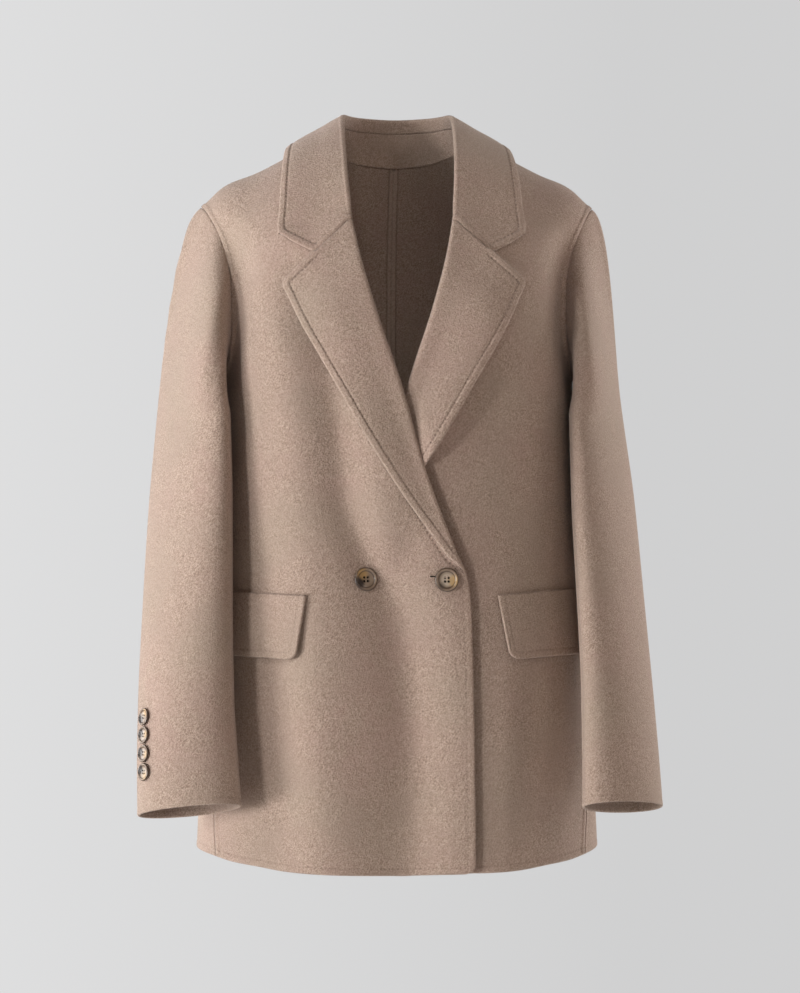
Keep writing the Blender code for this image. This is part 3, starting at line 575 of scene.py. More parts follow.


# %% [markdown]
# ## The wool
#
# Double-faced wool is two layers woven as one and brushed on both sides, so the weave hides under
# a short nap that lies one way. Three things make it look right. The colour is a mix of light and
# dark fibres, so it is mottled in streaks a few millimetres long, and broader patches lean pink
# or olive. The bump is the same streaks, so light catches their tips. And sheen, which brightens
# the surface where it turns away, stands for the fuzz. Creases and stitches come from the
# distances that each point remembers. The colour is darkened in them, which is painted shade,
# and lightened on felled strips, which is a painted highlight.

# %% A helper that keeps node code short


class Nodes:
    """Adds nodes to a material and links their inputs in one call."""

    def __init__(self, name, colour):
        self.material = bpy.data.materials.new(name)
        self.material.use_nodes = True
        self.material.diffuse_color = (*colour, 1)
        self.tree = self.material.node_tree
        self.shader = self.tree.nodes["Principled BSDF"]

    def add(self, kind, output=0, settings=None, **inputs):
        node = self.tree.nodes.new(kind)
        for name, value in (settings or {}).items():
            setattr(node, name, value)
        self.fill(node, **inputs)
        return node.outputs[output]

    def fill(self, node, **inputs):
        """Link or set a node's inputs, by name or, as in i0, by number."""
        for name, value in inputs.items():
            key = int(name[1:]) if name[1:].isdigit() else name.replace("_", " ")
            if isinstance(value, bpy.types.NodeSocket):
                self.tree.links.new(value, node.inputs[key])
            else:
                node.inputs[key].default_value = value

    def math(self, operation, a, b=0.0):
        return self.add("ShaderNodeMath", settings={"operation": operation}, i0=a, i1=b)

    def noise(self, place, scale, detail, roughness=0.5):
        settings = {"Scale": scale, "Detail": detail, "Roughness": roughness}
        return self.add("ShaderNodeTexNoise", Vector=place, **settings)

    def total(self, *shares):
        """The sum of values, each given with how much of it counts."""
        (value, share), *others = shares
        result = self.math("MULTIPLY", value, share)
        for value, share in others:
            result = self.math("ADD", result, self.math("MULTIPLY", value, share))
        return result

    def hump(self, value, middle, width):
        """1 at the middle and nothing away from it."""
        off = self.math("DIVIDE", self.math("SUBTRACT", value, middle), width)
        return self.math("EXPONENT", self.math("MULTIPLY", self.math("MULTIPLY", off, off), -1.0))

    def mix(self, factor, a, b, blend="MIX"):
        settings = {"data_type": "RGBA", "blend_type": blend, "clamp_factor": True}
        return self.add("ShaderNodeMix", 2, settings, i0=factor, i6=a, i7=b)

    def span(self, value, low, high, to_low=0.0, to_high=1.0):
        return self.add("ShaderNodeMapRange", i0=value, i1=low, i2=high, i3=to_low, i4=to_high)

    def attribute(self, name):
        return self.add("ShaderNodeAttribute", 2, {"attribute_name": name})


# %% The wool material
STITCH_STEP = 0.0046


def make_wool():
    n = Nodes("wool", (0.38, 0.29, 0.235))
    place = n.add("ShaderNodeTexCoord", 3)
    turned = n.add("ShaderNodeMapping", Vector=place, Rotation=(0.0, math.radians(-40), 0.3))
    nap = n.add("ShaderNodeMapping", Vector=turned, Scale=(1, 1, 0.48))
    fibre, tuft = n.noise(nap, 1250.0, 1.0), n.noise(nap, 640.0, 1.0)
    warm, olive = n.noise(place, 26.0, 3.0, 0.6), n.noise(place, 13.0, 3.0, 0.6)
    light = n.span(n.total((fibre, 0.72), (tuft, 0.28)), 0.385, 0.615)
    colour = n.mix(light, (0.268, 0.187, 0.144, 1), (0.512, 0.388, 0.314, 1))
    colour = n.mix(n.span(warm, 0.44, 0.62, 0.0, 0.34), colour, (0.410, 0.272, 0.232, 1))
    colour = n.mix(n.span(olive, 0.46, 0.62, 0.0, 0.30), colour, (0.345, 0.288, 0.218, 1))
    edge, run, sewn, seam, felled = (n.attribute(field) for field in FIELDS)
    phase = n.math("MULTIPLY", run, 2 * math.pi / STITCH_STEP)
    pulse = n.math("MULTIPLY", n.math("ADD", n.math("COSINE", phase), 1.0), 0.5)
    pulse = n.math("MULTIPLY", n.math("MULTIPLY", pulse, pulse), sewn)
    # Painted shade: the stitch dimples, the groove behind each lip and the creases at seams and
    # beside felled strips darken the colour. The dimples and creases are also bumped.
    dimple = n.math("MULTIPLY", n.hump(edge, LIP_WIDTH, 0.0008), pulse)
    groove = n.math("MULTIPLY", n.hump(edge, LIP_WIDTH, GROOVE_WIDTH), sewn)
    beside_felled = n.hump(felled, FELLED + 0.0005, 0.0009)
    crease = n.math("ADD", n.hump(seam, 0.0, 0.0008), n.math("MULTIPLY", beside_felled, 1.6))
    painted_shade = n.total((dimple, 0.55), (groove, 0.07), (crease, 0.22))
    colour = n.mix(painted_shade, colour, (0.12, 0.080, 0.060, 1))
    # Painted highlight: the felled strip is coloured lighter, as if its raised face caught the
    # light.
    painted_strip_highlight = n.span(felled, FELLED, FELLED - FELLED_STEP, 0.0, 0.30)
    colour = n.mix(painted_strip_highlight, colour, (0.560, 0.430, 0.350, 1))
    height = n.total((fibre, 0.9), (tuft, 0.8), (dimple, -0.7), (crease, -0.6))
    n.fill(
        n.shader,
        Base_Color=colour,
        Normal=n.add("ShaderNodeBump", Strength=0.8, Distance=0.0011, Height=height),
        Roughness=0.95,
        Specular_IOR_Level=0.12,
        Sheen_Weight=0.25,
        Sheen_Roughness=0.5,
        Sheen_Tint=(1.0, 0.94, 0.90, 1),
    )
    return n.material


WOOL = make_wool()
print("wool nodes:", len(WOOL.node_tree.nodes))

# %% [markdown]
# ## Fronts
#
# A front is one piece from the shoulder to the hem. Its inner part is cut wider than the chest,
# and that extra width is turned back along the roll line to make the lapel, so the lapel shows
# the cloth's other face. The same happens here: each row of the grid runs from the armhole or
# side seam across the chest, round a soft fold, and back out to the lapel's edge. Below the
# break the fold unrolls into the front edge. The wearer's right front laps over the left.

# %% Folds of the body
# The cloth stands out in a soft ridge in front of the pocket, falls into a valley beside the lapel
# and rises again to the front edge. Each level gives where the ridge and the valley are, how high
# or deep they are, and how wide.
FOLDS = table("""
z ridge_x ridge ridge_width floor_x floor left_width right_width
-0.720 -0.090 0.0070 0.030 0.006 0.0165 0.048 0.038
-0.600 -0.090 0.0095 0.029 0.008 0.0205 0.046 0.036
-0.540 -0.090 0.0105 0.028 0.004 0.0205 0.044 0.036
-0.460 -0.093 0.0100 0.026 -0.008 0.0185 0.040 0.036
-0.400 -0.101 0.0085 0.024 -0.042 0.0150 0.024 0.028
-0.340 -0.108 0.0075 0.024 -0.062 0.0150 0.022 0.026
-0.270 -0.116 0.0065 0.024 -0.070 0.0160 0.022 0.030
-0.200 -0.126 0.0045 0.024 -0.080 0.0145 0.022 0.026
-0.140 -0.135 0.0020 0.024 -0.104 0.0080 0.024 0.022
-0.085 -0.140 0.0000 0.024 -0.110 0.0000 0.024 0.022
""")
BREAK_DIMPLE = (0.003, -0.398, 0.0065, 0.021, 0.034)  # x, z, depth, width, height
UNDERLAP_RIDGE = table("""
z x height
-0.720 0.100 0.0030
-0.500 0.104 0.0034
-0.380 0.100 0.0
""")
UNDERLAP_RIDGE_WIDTH = 0.020
BRIDGED_SHARE = 0.85  # how much of the valley a lapel passes over
WAVE_HEIGHT = 0.00022
WAVES = np.array([(60, 21, 35, 0.4), (-38, 44, 71, 1.9), (83, -52, 24, 3.1), (17, 95, -63, 5.0)])


def uneven(point):
    """A little long-wave unevenness, the same for every piece at the same place."""
    return WAVE_HEIGHT * sum(np.sin(point @ wave[:3] + wave[3]) for wave in WAVES)


def relieved(point, bridged=0.0):
    """Body points pushed in or out to make the coat's folds; a lapel bridges the valley."""
    x, y, z = point[..., 0], point[..., 1], point[..., 2]
    away = point * np.array([1, 1.2, 0])
    away = away / np.maximum(np.linalg.norm(away, axis=-1, keepdims=True), 1e-6)
    ridge = FOLDS.at(z, "ridge") * hump(x, FOLDS.at(z, "ridge_x"), FOLDS.at(z, "ridge_width"))
    floor_x = FOLDS.at(z, "floor_x")
    width = np.where(x < floor_x, FOLDS.at(z, "left_width"), FOLDS.at(z, "right_width"))
    floor = FOLDS.at(z, "floor") * hump(x, floor_x, width)
    dimple_x, dimple_z, depth, dimple_width, dimple_height = BREAK_DIMPLE
    floor = floor + depth * hump(x, dimple_x, dimple_width) * hump(z, dimple_z, dimple_height)
    floor = floor * (1 - BRIDGED_SHARE * bridged)
    under = hump(x, UNDERLAP_RIDGE.at(z, "x"), UNDERLAP_RIDGE_WIDTH)
    under = under * UNDERLAP_RIDGE.at(z, "height")
    lift = (ridge - floor + under) * ease(-y, 0.0, 0.05)
    return point + away * (lift + uneven(point))[..., None]


print("deepest valley, m:", FOLDS.columns["floor"][0].max())

# %% Cloth beside its seams
SEAM_SIDE = 0.0005  # each side of the shoulder seam stops this far from its middle
SEAM_REACH, SEAM_SHIFT = 0.012, 0.003  # how far the cloth follows, and how much at the most
ARMHOLE_DIP, DIP_PLACE, DIP_WIDTH = 0.0115, 0.014, 0.018
BACK_DIP = -0.3  # behind the shoulder the cloth swells a little instead


def seam_closed(grid, target, strength, row):
    """Move the first row's y to the target, and the cloth beside it by less and less."""
    shift = np.clip(target - grid[:1, :, 1], -SEAM_SHIFT, SEAM_SHIFT) * strength
    away = np.abs(grid[..., 1] - grid[:1, :, 1])
    closed = grid.copy()
    closed[..., 1] += shift * np.exp(-away / SEAM_REACH) * (row < 2)[:, None]
    return closed


def armhole_dipped(grid, seam, sleeve=False):
    """The body falls into a valley beside the armhole seam; the sleeve meets it at the seam.

    The valley fades out at the shoulder, under the arm and where the front turns to the back.
    """
    place, depth = DIP_PLACE, ARMHOLE_DIP
    if sleeve:
        place, depth = 0.0, ARMHOLE_DIP * float(hump(np.array(0.0), DIP_PLACE, DIP_WIDTH))
    flat = np.nan_to_num(grid.reshape(-1, 3), nan=9.0)
    away = near_line(flat, seam)[0].reshape(grid.shape[:2])
    y, z = grid[..., 1], grid[..., 2]
    strength = ease(-z, 0.045, 0.090) * (1 - ease(-z, 0.215, 0.260))
    behind = BACK_DIP * ease(y, 0.010, 0.030)
    strength = strength * np.where(y < 0, ease(-y, 0.010, 0.030), behind)
    sunk = grid.copy()
    sunk[..., 1] += depth * strength * hump(away, place, DIP_WIDTH)
    return sunk


# %% Rows and steps of a grid


def shares(length, step, first=True, last=True, fine=0.0011, near=0.009):
    """Shares from 0 to 1 about a step apart, closer together near the ends that are named."""
    x = np.linspace(0, length, 3000)
    away = np.full(len(x), 1.0)
    away = np.minimum(away, x) if first else away
    away = np.minimum(away, length - x) if last else away
    size = fine + (step - fine) * ease(away, near, 2 * near)
    count = np.concatenate([[0], np.cumsum(np.diff(x) * (1 / size[1:] + 1 / size[:-1]) / 2)])
    return np.interp(np.linspace(0, count[-1], math.ceil(count[-1]) + 1), count, x) / length


def even_rows(rows_of, start, end, step, first=True, last=True):
    """Row numbers between two rows, spaced by the widest gap between neighbours."""
    numbers = np.linspace(start, end, 260)
    gap = np.linalg.norm(np.diff(rows_of(numbers), axis=0), axis=-1).max(axis=1)
    run = np.concatenate([[0], np.cumsum(gap)])
    return np.interp(shares(run[-1], step, first, last) * run[-1], run, numbers)


print("steps across 20 cm of cloth:", len(shares(0.20, 0.0032)) - 1)

# %% Borders of the body's pieces


def border_turn(y, z, back):
    """The turn of a point on the armhole or the side seam."""
    top = np.abs(y) < 1e-5
    found = turn_at(np.where(top, -0.01, y), z)
    return np.where(top, turn_of(*ARMHOLE_TOP, back), found)


def dome_share(z, line, dome):
    """How far a point has come down the dome from the shoulder line, as a share of its depth."""
    return np.sqrt(np.clip(1 - (1 - np.clip((line - z) / dome, 0, 1)) ** 2, 0, 1))


def outer_border(row, last, angle, back):
    """A body piece's outer edge: down the armhole to its last row, then down the side seam."""
    level = UNDERARM_Z + (HEM_LEVEL - UNDERARM_Z) * np.clip(row - last, 0, 1)
    z = np.where(row > last, level, ARMHOLE.at(angle, "z"))
    y = np.where(row > last, SIDE.at(level, "y"), ARMHOLE.at(angle, "y"))
    return level, z, border_turn(y, z, back)


def to_hem(out, z):
    """Levels near the bottom, drawn down to the hem's own curve."""
    share = np.clip((HEM_START - z) / (HEM_START - HEM_LEVEL), 0, 1)
    return np.where(share > 0, HEM_START + (HEM.at(np.abs(out), "z") - HEM_START) * share, z)


# %% Front rows
FRONT_ROWS = table(f"""
row angle inner follow
0 0 0.0285 1.0
1 -20 0.0200 0.7
2 -42 0.0000 0.4
3 -64 -0.0307 0.0
4 -86 {GORGE_Z} 0.0
5 -106 -0.0900 0.0
6 -124 -0.1180 0.0
7 -140 -0.1450 0.0
8 -154 -0.1700 0.0
9 -168 -0.1930 0.0
10 -180 {UNDERARM_Z} 0.0
""")
FRONT_GORGE, FRONT_UNDERARM, FRONT_HEM = 4, 10, 11  # the rows where these are
HEM_LEVEL, HEM_START = -0.7200, -0.6680
SEAM_TURN = math.degrees(SEAM_GAP / 2 / 0.19)  # half the seam's gap, as an angle round the body
ROLL_SOFTNESS = 0.0016
OVERLAP_LIFT, UNDERLAP_DROP = 0.0054, 0.0050
CROSSING_Z, CROSSING_OUT = -0.2354, -0.0005  # above this the underlap's edge runs up steeply


def layer(side, out, z):
    """Height of a front's outer face over the form: the right front lies over the left.

    The right one rises towards the middle and below the chest; the left one sinks under it.
    """
    if side < 0:
        return OVERLAP_LIFT * ease(-out, -0.115, -0.055) * ease(-z, 0.110, 0.225)
    cover = ROLL.at(z, "out")
    steep = np.minimum(cover, CROSSING_OUT) - 0.3 * (z - CROSSING_Z)
    cover = np.where(z > CROSSING_Z, steep, cover)
    return -UNDERLAP_DROP * ease(-out, -(cover + 0.014), -(cover - 0.004))


def on_front(side, out, z, height):
    turn = turn_of(out, z)
    point = form(turn, z) + outward(turn, z) * np.asarray(height)[..., None]
    return point * np.array([side, 1, 1])


# %% The roll line and the lapel's fold
lapel_edge = smooth_path(
    [(0.1164, -0.1264), (0.0995, -0.1626), (0.0655, -0.2250), (0.0315, -0.2868),
     (0.0020, -0.3350), (-0.0300, -0.3800), (-0.0500, -0.4085), (-0.0590, -0.4210)]
)
roll_levels = np.linspace(GORGE_Z, BREAK_Z, 200)
roll_run = run_of(stacked(-ROLL.at(roll_levels, "out"), roll_levels))


def roll_share(z):
    return np.interp(-z, -roll_levels, roll_run / roll_run[-1])


def fold_radius(z):
    """The fold is rounder where nothing lies over it, and tight at the gorge and under a lap."""
    return FOLD + ROLL_SOFTNESS * ease(z, -0.30, -0.20) * (1 - ease(z, -0.12, -0.075))


def turned_back(z):
    """How much cloth lies beyond the start of the fold at a level."""
    corner = lapel_edge(roll_share(z))
    radius = fold_radius(z)
    width = np.hypot(corner[..., 0] + ROLL.at(z, "out"), corner[..., 1] - z)
    full = math.pi * radius + width
    return np.maximum(full * (1 - ease(-z, 0.392, 0.4205)), 0.0008), width, corner


def roll_across(z):
    """A point of the roll line as (out, z), and the direction across it towards the body."""
    step = 0.004
    below, above = (stacked(-ROLL.at(level, "out"), level) for level in (z - step, z + step))
    along = unit(below - above)
    return stacked(-ROLL.at(z, "out"), z), stacked(-along[..., 1], along[..., 0])


def roll_frame(z):
    """The start of the fold as (out, z), and the direction across it towards the body."""
    point, across = roll_across(z)
    length, _, _ = turned_back(z)
    radius = fold_radius(z)
    inset = CLOTH / 2 + radius * np.sin(np.minimum(length / radius, math.pi / 2))
    return point + across * inset[..., None], across


print("widest turned-back part, m:", round(float(turned_back(roll_levels)[0].max()), 4))

# %% Front surface


def front_body(row, share):
    """Points of a front between its outer seams and its inner border, for row and share arrays."""
    row, share = np.asarray(row, float)[:, None], np.asarray(share, float)[None]
    angle = FRONT_ROWS.at(row, "angle")
    level, outer, outer_turn = outer_border(row, FRONT_UNDERARM, angle, False)
    outer_turn = outer_turn - SEAM_TURN
    inner = np.where(row > FRONT_UNDERARM, level, FRONT_ROWS.at(row, "inner"))
    folded = (inner <= GORGE_Z) & (inner >= BREAK_Z)
    start, _ = roll_frame(np.clip(inner, BREAK_Z, GORGE_Z))
    edge = np.where(inner > GORGE_Z, NECK.at(inner, "out"), -ROLL.at(inner, "out")) + CLOTH / 2
    inner_out = np.where(folded, start[..., 0], edge)
    inner_z = np.where(folded, start[..., 1], inner)
    inner_turn = turn_of(inner_out, inner_z)
    turn = outer_turn + (inner_turn - outer_turn) * share
    z = outer + (inner_z - outer) * share
    line = shoulder_level(turn)
    straight = line[:, :1] + (line[:, -1:] - line[:, :1]) * share
    z = z + (line - straight) * FRONT_ROWS.at(row, "follow")
    return turn, z, line


def front_surface(side, row, share):
    turn, z, line = front_body(row, share)
    _, z_1, line_1 = front_body([1.0], share)
    near = np.asarray(row, float)[:, None]
    if (near < 1).any():
        down_1 = dome_share(z_1, line_1, FRONT_DOME)
        down_0 = dome_share(z, line, FRONT_DOME)[:, :1]
        down = np.clip(down_0 + near * (down_1 - down_1[:, :1]), 0, 1)
        z = np.where(near < 1, line - FRONT_DOME * (1 - np.sqrt(1 - down**2)), z)
    out = form(turn, z)[..., 0]
    z = to_hem(out, z)
    height = layer(side, out, z) - CLOTH / 2
    return form(turn, z) + outward(turn, z) * height[..., None]


# %% Front grids
LAPEL_CORNER, HEM_CORNER = 0.0045, 0.008
LAPEL_SPRING = {-1: 0.0065, 1: 0.0105}  # how far the lapel's free edge stands off the chest
LAPEL_SWELL = 0.0016
FRONT_STEP, FRONT_SHARE_STEP = 0.0029, 0.0032
NOTCH, COLLAR_CORNER = (0.0861, -0.0945), (0.1210, -0.0767)


def rounded(away, radius):
    """How much a corner is cut back at this distance from it."""
    return radius - np.sqrt(np.maximum(radius**2 - np.maximum(radius - away, 0) ** 2, 0))


def front_grid(side):
    """A front's points, lapel included, and the lines of points along its edges and seams."""
    rows_of = lambda row: front_surface(side, row, [0, 0.5, 1.0])
    break_row = FRONT_UNDERARM + (BREAK_Z - UNDERARM_Z) / (HEM_LEVEL - UNDERARM_Z)
    row = np.concatenate([
        even_rows(rows_of, 0, FRONT_GORGE, FRONT_STEP, False, False),
        even_rows(rows_of, FRONT_GORGE, break_row, FRONT_STEP, True, False)[1:],
        even_rows(rows_of, break_row, FRONT_HEM, FRONT_STEP, False, True)[1:],
    ])
    body = shares(0.20, FRONT_SHARE_STEP)
    fold = np.linspace(0, 1, 10)[1:]
    lapel = shares(0.10, FRONT_SHARE_STEP, first=False)[1:]
    width = len(body)
    chest = front_surface(side, row, body)
    from_hem = np.linalg.norm(chest[:, -1] - chest[-1, -1], axis=-1)
    chest[..., 0] += rounded(from_hem, HEM_CORNER)[:, None] * ease(body, 0.7, 1.0)[None]
    away = np.abs(chest[..., 1] - chest[:1, :, 1])
    chest[..., 1] -= SEAM_SIDE * np.exp(-away / 0.003) * (row < 1)[:, None]
    grid = np.full((len(row), width + len(fold) + len(lapel), 3), np.nan)
    grid[:, :width] = chest * np.array([side, 1, 1])

    folded = np.flatnonzero((row >= FRONT_GORGE) & (row <= break_row + 1e-9))
    level = UNDERARM_Z + (HEM_LEVEL - UNDERARM_Z) * (row - FRONT_UNDERARM)
    z = np.where(row > FRONT_UNDERARM, level, FRONT_ROWS.at(row, "inner"))[folded]
    z = np.clip(z, BREAK_Z, GORGE_Z)
    length, reach, corner = turned_back(z)
    start, across = roll_frame(z)
    radius = fold_radius(z)
    bent = np.minimum(math.pi * radius, 0.8 * length)
    length = length - rounded(run_of(corner), LAPEL_CORNER)
    flat_part = bent[:, None] + (length - bent)[:, None] * lapel[None]
    along = np.concatenate([bent[:, None] * fold[None], flat_part], axis=1)
    radius = radius[:, None]
    angle = np.minimum(along / radius, math.pi)
    flat = np.maximum(along - math.pi * radius, 0) / np.maximum(reach, 1e-4)[:, None]
    start, across, corner = start[:, None], across[:, None], corner[:, None]
    out, level = (
        start[..., k] - across[..., k] * radius * np.sin(angle) + (corner - start)[..., k] * flat
        for k in (0, 1)
    )
    spring = LAPEL_SPRING[side] * ease(flat, 0.15, 1.0) * ease(level, -0.40, -0.24)
    swell = np.sin(math.pi * np.clip(flat, 0, 1)) * ease(level, -0.26, -0.16)
    height = layer(side, out, level) - CLOTH / 2 + radius * (1 - np.cos(angle))
    height = height + spring + LAPEL_SWELL * swell
    grid[folded, width:] = on_front(side, out, level, height)
    bridged = np.zeros(grid.shape[:2])
    bridged[folded, width:] = ease(flat, 0.0, 0.45) * ease(level, -0.40, -0.33)
    grid = relieved(grid, bridged)
    under = int(np.argmin(np.abs(row - FRONT_UNDERARM)))
    chest = seam_closed(grid[:, :width], -SEAM_SIDE, 1.0, row)
    grid[:, :width] = armhole_dipped(chest, chest[: under + 1, 0].copy())
    return grid, {
        "armhole": grid[: under + 1, 0],
        "side": grid[under:, 0],
        "top": grid[0, :width],
        "neck": grid[row <= FRONT_GORGE, width - 1],
        "gorge": grid[folded[0], width - 1 :],
        "lapel": grid[folded, -1],
        "front": grid[row >= break_row - 1e-9, width - 1],
        "hem": grid[-1, :width],
    }


# %% Make both fronts


def build_front(side):
    grid, lines = front_grid(side)
    gorge = lines["gorge"]
    notch = on_front(side, *NOTCH, 0.002)
    split = int(np.linalg.norm(gorge - notch, axis=1).argmin())
    cloth(
        f"wool_front_{SIDES[side]}",
        grid,
        (int(len(grid) * 0.6), 40, (0, -1, 0)),
        edges=[
            (gorge[split:], 1.0, "fades in"),
            (lines["lapel"], 0.9),
            (lines["front"], 0.35),
            (lines["hem"], 0.4),
        ],
        seams=[lines["armhole"], lines["side"], gorge[: split + 1], lines["top"], lines["neck"]],
        welts=[lines["armhole"], lines["side"]],
    )


for side in SIDES:
    build_front(side)

# %% [markdown]
# ## Backs
#
# The back has a seam down its middle. Inside an unlined coat that seam is pressed open and its
# two sides are felled down by hand, so it shows as a flat strip in the neck opening. The wool
# material colours that strip lighter, which is a painted highlight.

# %% Backs
BACK_ROWS = table(f"""
row angle inner
0 0 0.0100
1 18 0.0010
2 40 -0.0160
3 62 -0.0480
4 84 -0.0850
5 106 -0.1250
6 128 -0.1560
7 148 -0.1820
8 165 -0.2000
9 180 {UNDERARM_Z}
""")
BACK_NECK = table("""
out z
0.000 0.0100
0.035 0.0130
0.060 0.0205
0.075 0.0285
""")
NECK_POINT = (0.0750, 0.0285)
NECK_SHARE = 0.7
BACK_UNDERARM, BACK_HEM = 9, 10


def back_body(row, share):
    row, share = np.asarray(row, float)[:, None], np.asarray(share, float)[None]
    angle = BACK_ROWS.at(row, "angle")
    level, side_z, outer = outer_border(row, BACK_UNDERARM, angle, True)
    outer = outer + SEAM_TURN
    centre = np.where(row > BACK_UNDERARM, level, BACK_ROWS.at(row, "inner"))
    neck_turn = float(turn_of(*NECK_POINT, back=True))
    even = outer + (180 - outer) * share
    top = np.where(
        share < NECK_SHARE,
        outer + (neck_turn - outer) * share / NECK_SHARE,
        neck_turn + (180 - neck_turn) * (share - NECK_SHARE) / (1 - NECK_SHARE),
    )
    near = ease(side_z, -0.15, -0.041)
    turn = even + (top - even) * near
    z = side_z + (centre - side_z) * share
    shoulder = shoulder_level(turn)
    out = BODY.at(shoulder, "half_width") * polar(turn)[0]
    neck = BACK_NECK.at(np.clip(out, 0, NECK_POINT[0]), "z")
    line = np.where(turn > neck_turn, np.minimum(neck, shoulder), shoulder)
    straight = line[:, :1] + (line[:, -1:] - line[:, :1]) * share
    return turn, z + (line - straight) * near, line, shoulder


def back_surface(row, share):
    turn, z, line, shoulder = back_body(row, share)
    _, z_1, _, shoulder_1 = back_body([1.0], share)
    near = np.asarray(row, float)[:, None]
    if (near < 1).any():
        start = dome_share(line, shoulder, BACK_DOME)
        down_1 = dome_share(z_1, shoulder_1, BACK_DOME)
        border = dome_share(z, shoulder, BACK_DOME)[:, :1]
        fitted = (border - near * down_1[:, :1]) * (1 - near)
        down = np.clip(start + (down_1 - start) * near + fitted, 0, 1)
        z = np.where(near < 1, shoulder - BACK_DOME * (1 - np.sqrt(1 - down**2)), z)
    z = to_hem(form(turn, z)[..., 0], z)
    return form(turn, z) - outward(turn, z) * CLOTH / 2


# %% Make both backs


def build_back(side):
    rows_of = lambda row: back_surface(row, [0, 0.4, 0.8, 1.0])
    row = even_rows(rows_of, 0, BACK_HEM, 0.0031)
    share = shares(0.19, 0.0034)
    on_shoulder = 1 - ease(share, NECK_SHARE - 0.02, NECK_SHARE + 0.04)
    grid = seam_closed(back_surface(row, share), SEAM_SIDE, on_shoulder, row)
    grid[:, -1, 0] = SEAM_GAP / 2
    grid = relieved(grid * np.array([side, 1, 1]))
    under = int(np.argmin(np.abs(row - BACK_UNDERARM)))
    grid = armhole_dipped(grid, grid[: under + 1, 0].copy())
    armhole, side_seam = grid[: under + 1, 0], grid[under:, 0]
    cloth(
        f"wool_back_{SIDES[side]}",
        grid,
        (len(grid) // 2, len(share) - 20, (0, 1, 0)),
        edges=[(grid[-1], 0.4)],
        seams=[armhole, side_seam, grid[0, share < NECK_SHARE], grid[:, -1]],
        welts=[armhole, side_seam],
        felled=[grid[:, -1]],
    )


for side in SIDES:
    build_back(side)

# %% [markdown]
# ## Collar
#
# A notched collar is a stand, which rises round the neck, and a leaf, which falls from it. On a
# good collar they are two pieces with a seam a little below the fold, hidden on the outside, so
# the fold itself is plain cloth. The leaf's front end is sewn to the lapel along the gorge seam
# as far as the notch, and from there it is free.

# %% Collar lines
# The last row of the first two tables is on the other side, so the lines stay smooth between.
COLLAR_CREST = table("""
along out y z
0.00 0.0518 -0.1045 -0.0600
0.12 0.0545 -0.0910 -0.0300
0.27 0.0565 -0.0700 0.0020
0.38 0.0572 -0.0470 0.0250
0.48 0.0574 -0.0240 0.0435
0.57 0.0565 -0.0010 0.0545
0.68 0.0520 0.0240 0.0580
0.82 0.0340 0.0480 0.0575
1.00 0.0000 0.0560 0.0565
1.18 -0.0340 0.0480 0.0575
""")
COLLAR_EDGE = table("""
along out y z
0.00 0.1210 -0.0915 -0.0767
0.12 0.1190 -0.0805 -0.0530
0.27 0.1165 -0.0585 -0.0180
0.38 0.1140 -0.0380 0.0030
0.48 0.1105 -0.0130 0.0165
0.57 0.1035 0.0120 0.0215
0.68 0.0890 0.0420 0.0145
0.82 0.0560 0.0755 -0.0020
1.00 0.0000 0.0925 -0.0120
1.18 -0.0560 0.0755 -0.0020
""")
COLLAR_SEAM = table("""
along z out
0.00 -0.0600 0.0530
0.12 -0.0300 0.0626
0.27 -0.0060 0.0688
0.38 0.0040 0.0708
0.48 0.0165 0.0730
0.57 0.0285 0.0750
0.68 0.0205 0.0600
0.82 0.0130 0.0350
1.00 0.0100 0.0000
""")
COLLAR_SHOULDER = 0.57  # here the collar passes over the shoulder seam
STAND_SEAM_DROP = 0.0135
STAND_LIFT = 0.0028
STAND_START = 0.28


def mirrored(along):
    """Reading past the centre back gives the other side, so lines stay smooth there."""
    return np.where(along > 1, 2 - along, along), np.where(along > 1, -1.0, 1.0)


def collar_line(curve, along):
    along, sign = mirrored(np.asarray(along, float))
    point = stacked(*(curve.at(along, name) for name in ("out", "y", "z")))
    point[..., 0] *= sign
    return point


def neck_seam(along):
    out, z = COLLAR_SEAM.at(along, "out"), COLLAR_SEAM.at(along, "z")
    turn = np.where(along > COLLAR_SHOULDER, turn_of(out, z, True), turn_of(out, z))
    return form(turn, z) - outward(turn, z) * CLOTH / 2


def collar_frame(along):
    """The centre of the collar's fold, the way down its stand and the way out."""
    top = collar_line(COLLAR_CREST, along)
    behind, ahead = (collar_line(COLLAR_CREST, along + step) for step in (-0.02, 0.02))
    forward = unit(ahead - behind)
    seam = neck_seam(along)
    down = seam - top
    down = unit(down - forward * (down * forward).sum(-1, keepdims=True))
    away = np.cross(down, forward)
    from_middle = top * np.array([1, 1, 0]) - np.array([0, -0.010, 0])
    away = away * np.sign((away * from_middle).sum(-1, keepdims=True))
    return top + down * FOLD, down, away, seam


def gorge_end():
    """The same at the front end, where the collar meets the lapel's fold."""
    z = np.array([GORGE_Z + SEAM_GAP])
    point, across = roll_across(z)
    start = point + across * (FOLD + CLOTH / 2)
    turn = turn_of(start[..., 0], start[..., 1])
    away = outward(turn, start[..., 1])
    centre = form(turn, start[..., 1]) + away * (FOLD - CLOTH / 2)
    down = stacked(across[..., 0], 0 * z, across[..., 1])
    down = unit(down - away * (down * away).sum(-1, keepdims=True))
    return centre, down, away


print("crest at the centre back:", np.round(collar_line(COLLAR_CREST, 1.0), 4))

# %% The leaf, which lies outside
LEAF_BULGE = 0.012
LEAF_SPRING = 0.0050  # how far the leaf's free edge stands off the shoulder
LEAF_LENGTH, LEAF_CORNER = 0.075, 0.0035
ON_LAPEL = 0.13  # over this share of the collar the leaf leaves the gorge seam
LEAF_CLEAR, LEAF_RISE = 0.0008, 0.0012  # its height over the gorge, and what its edge adds


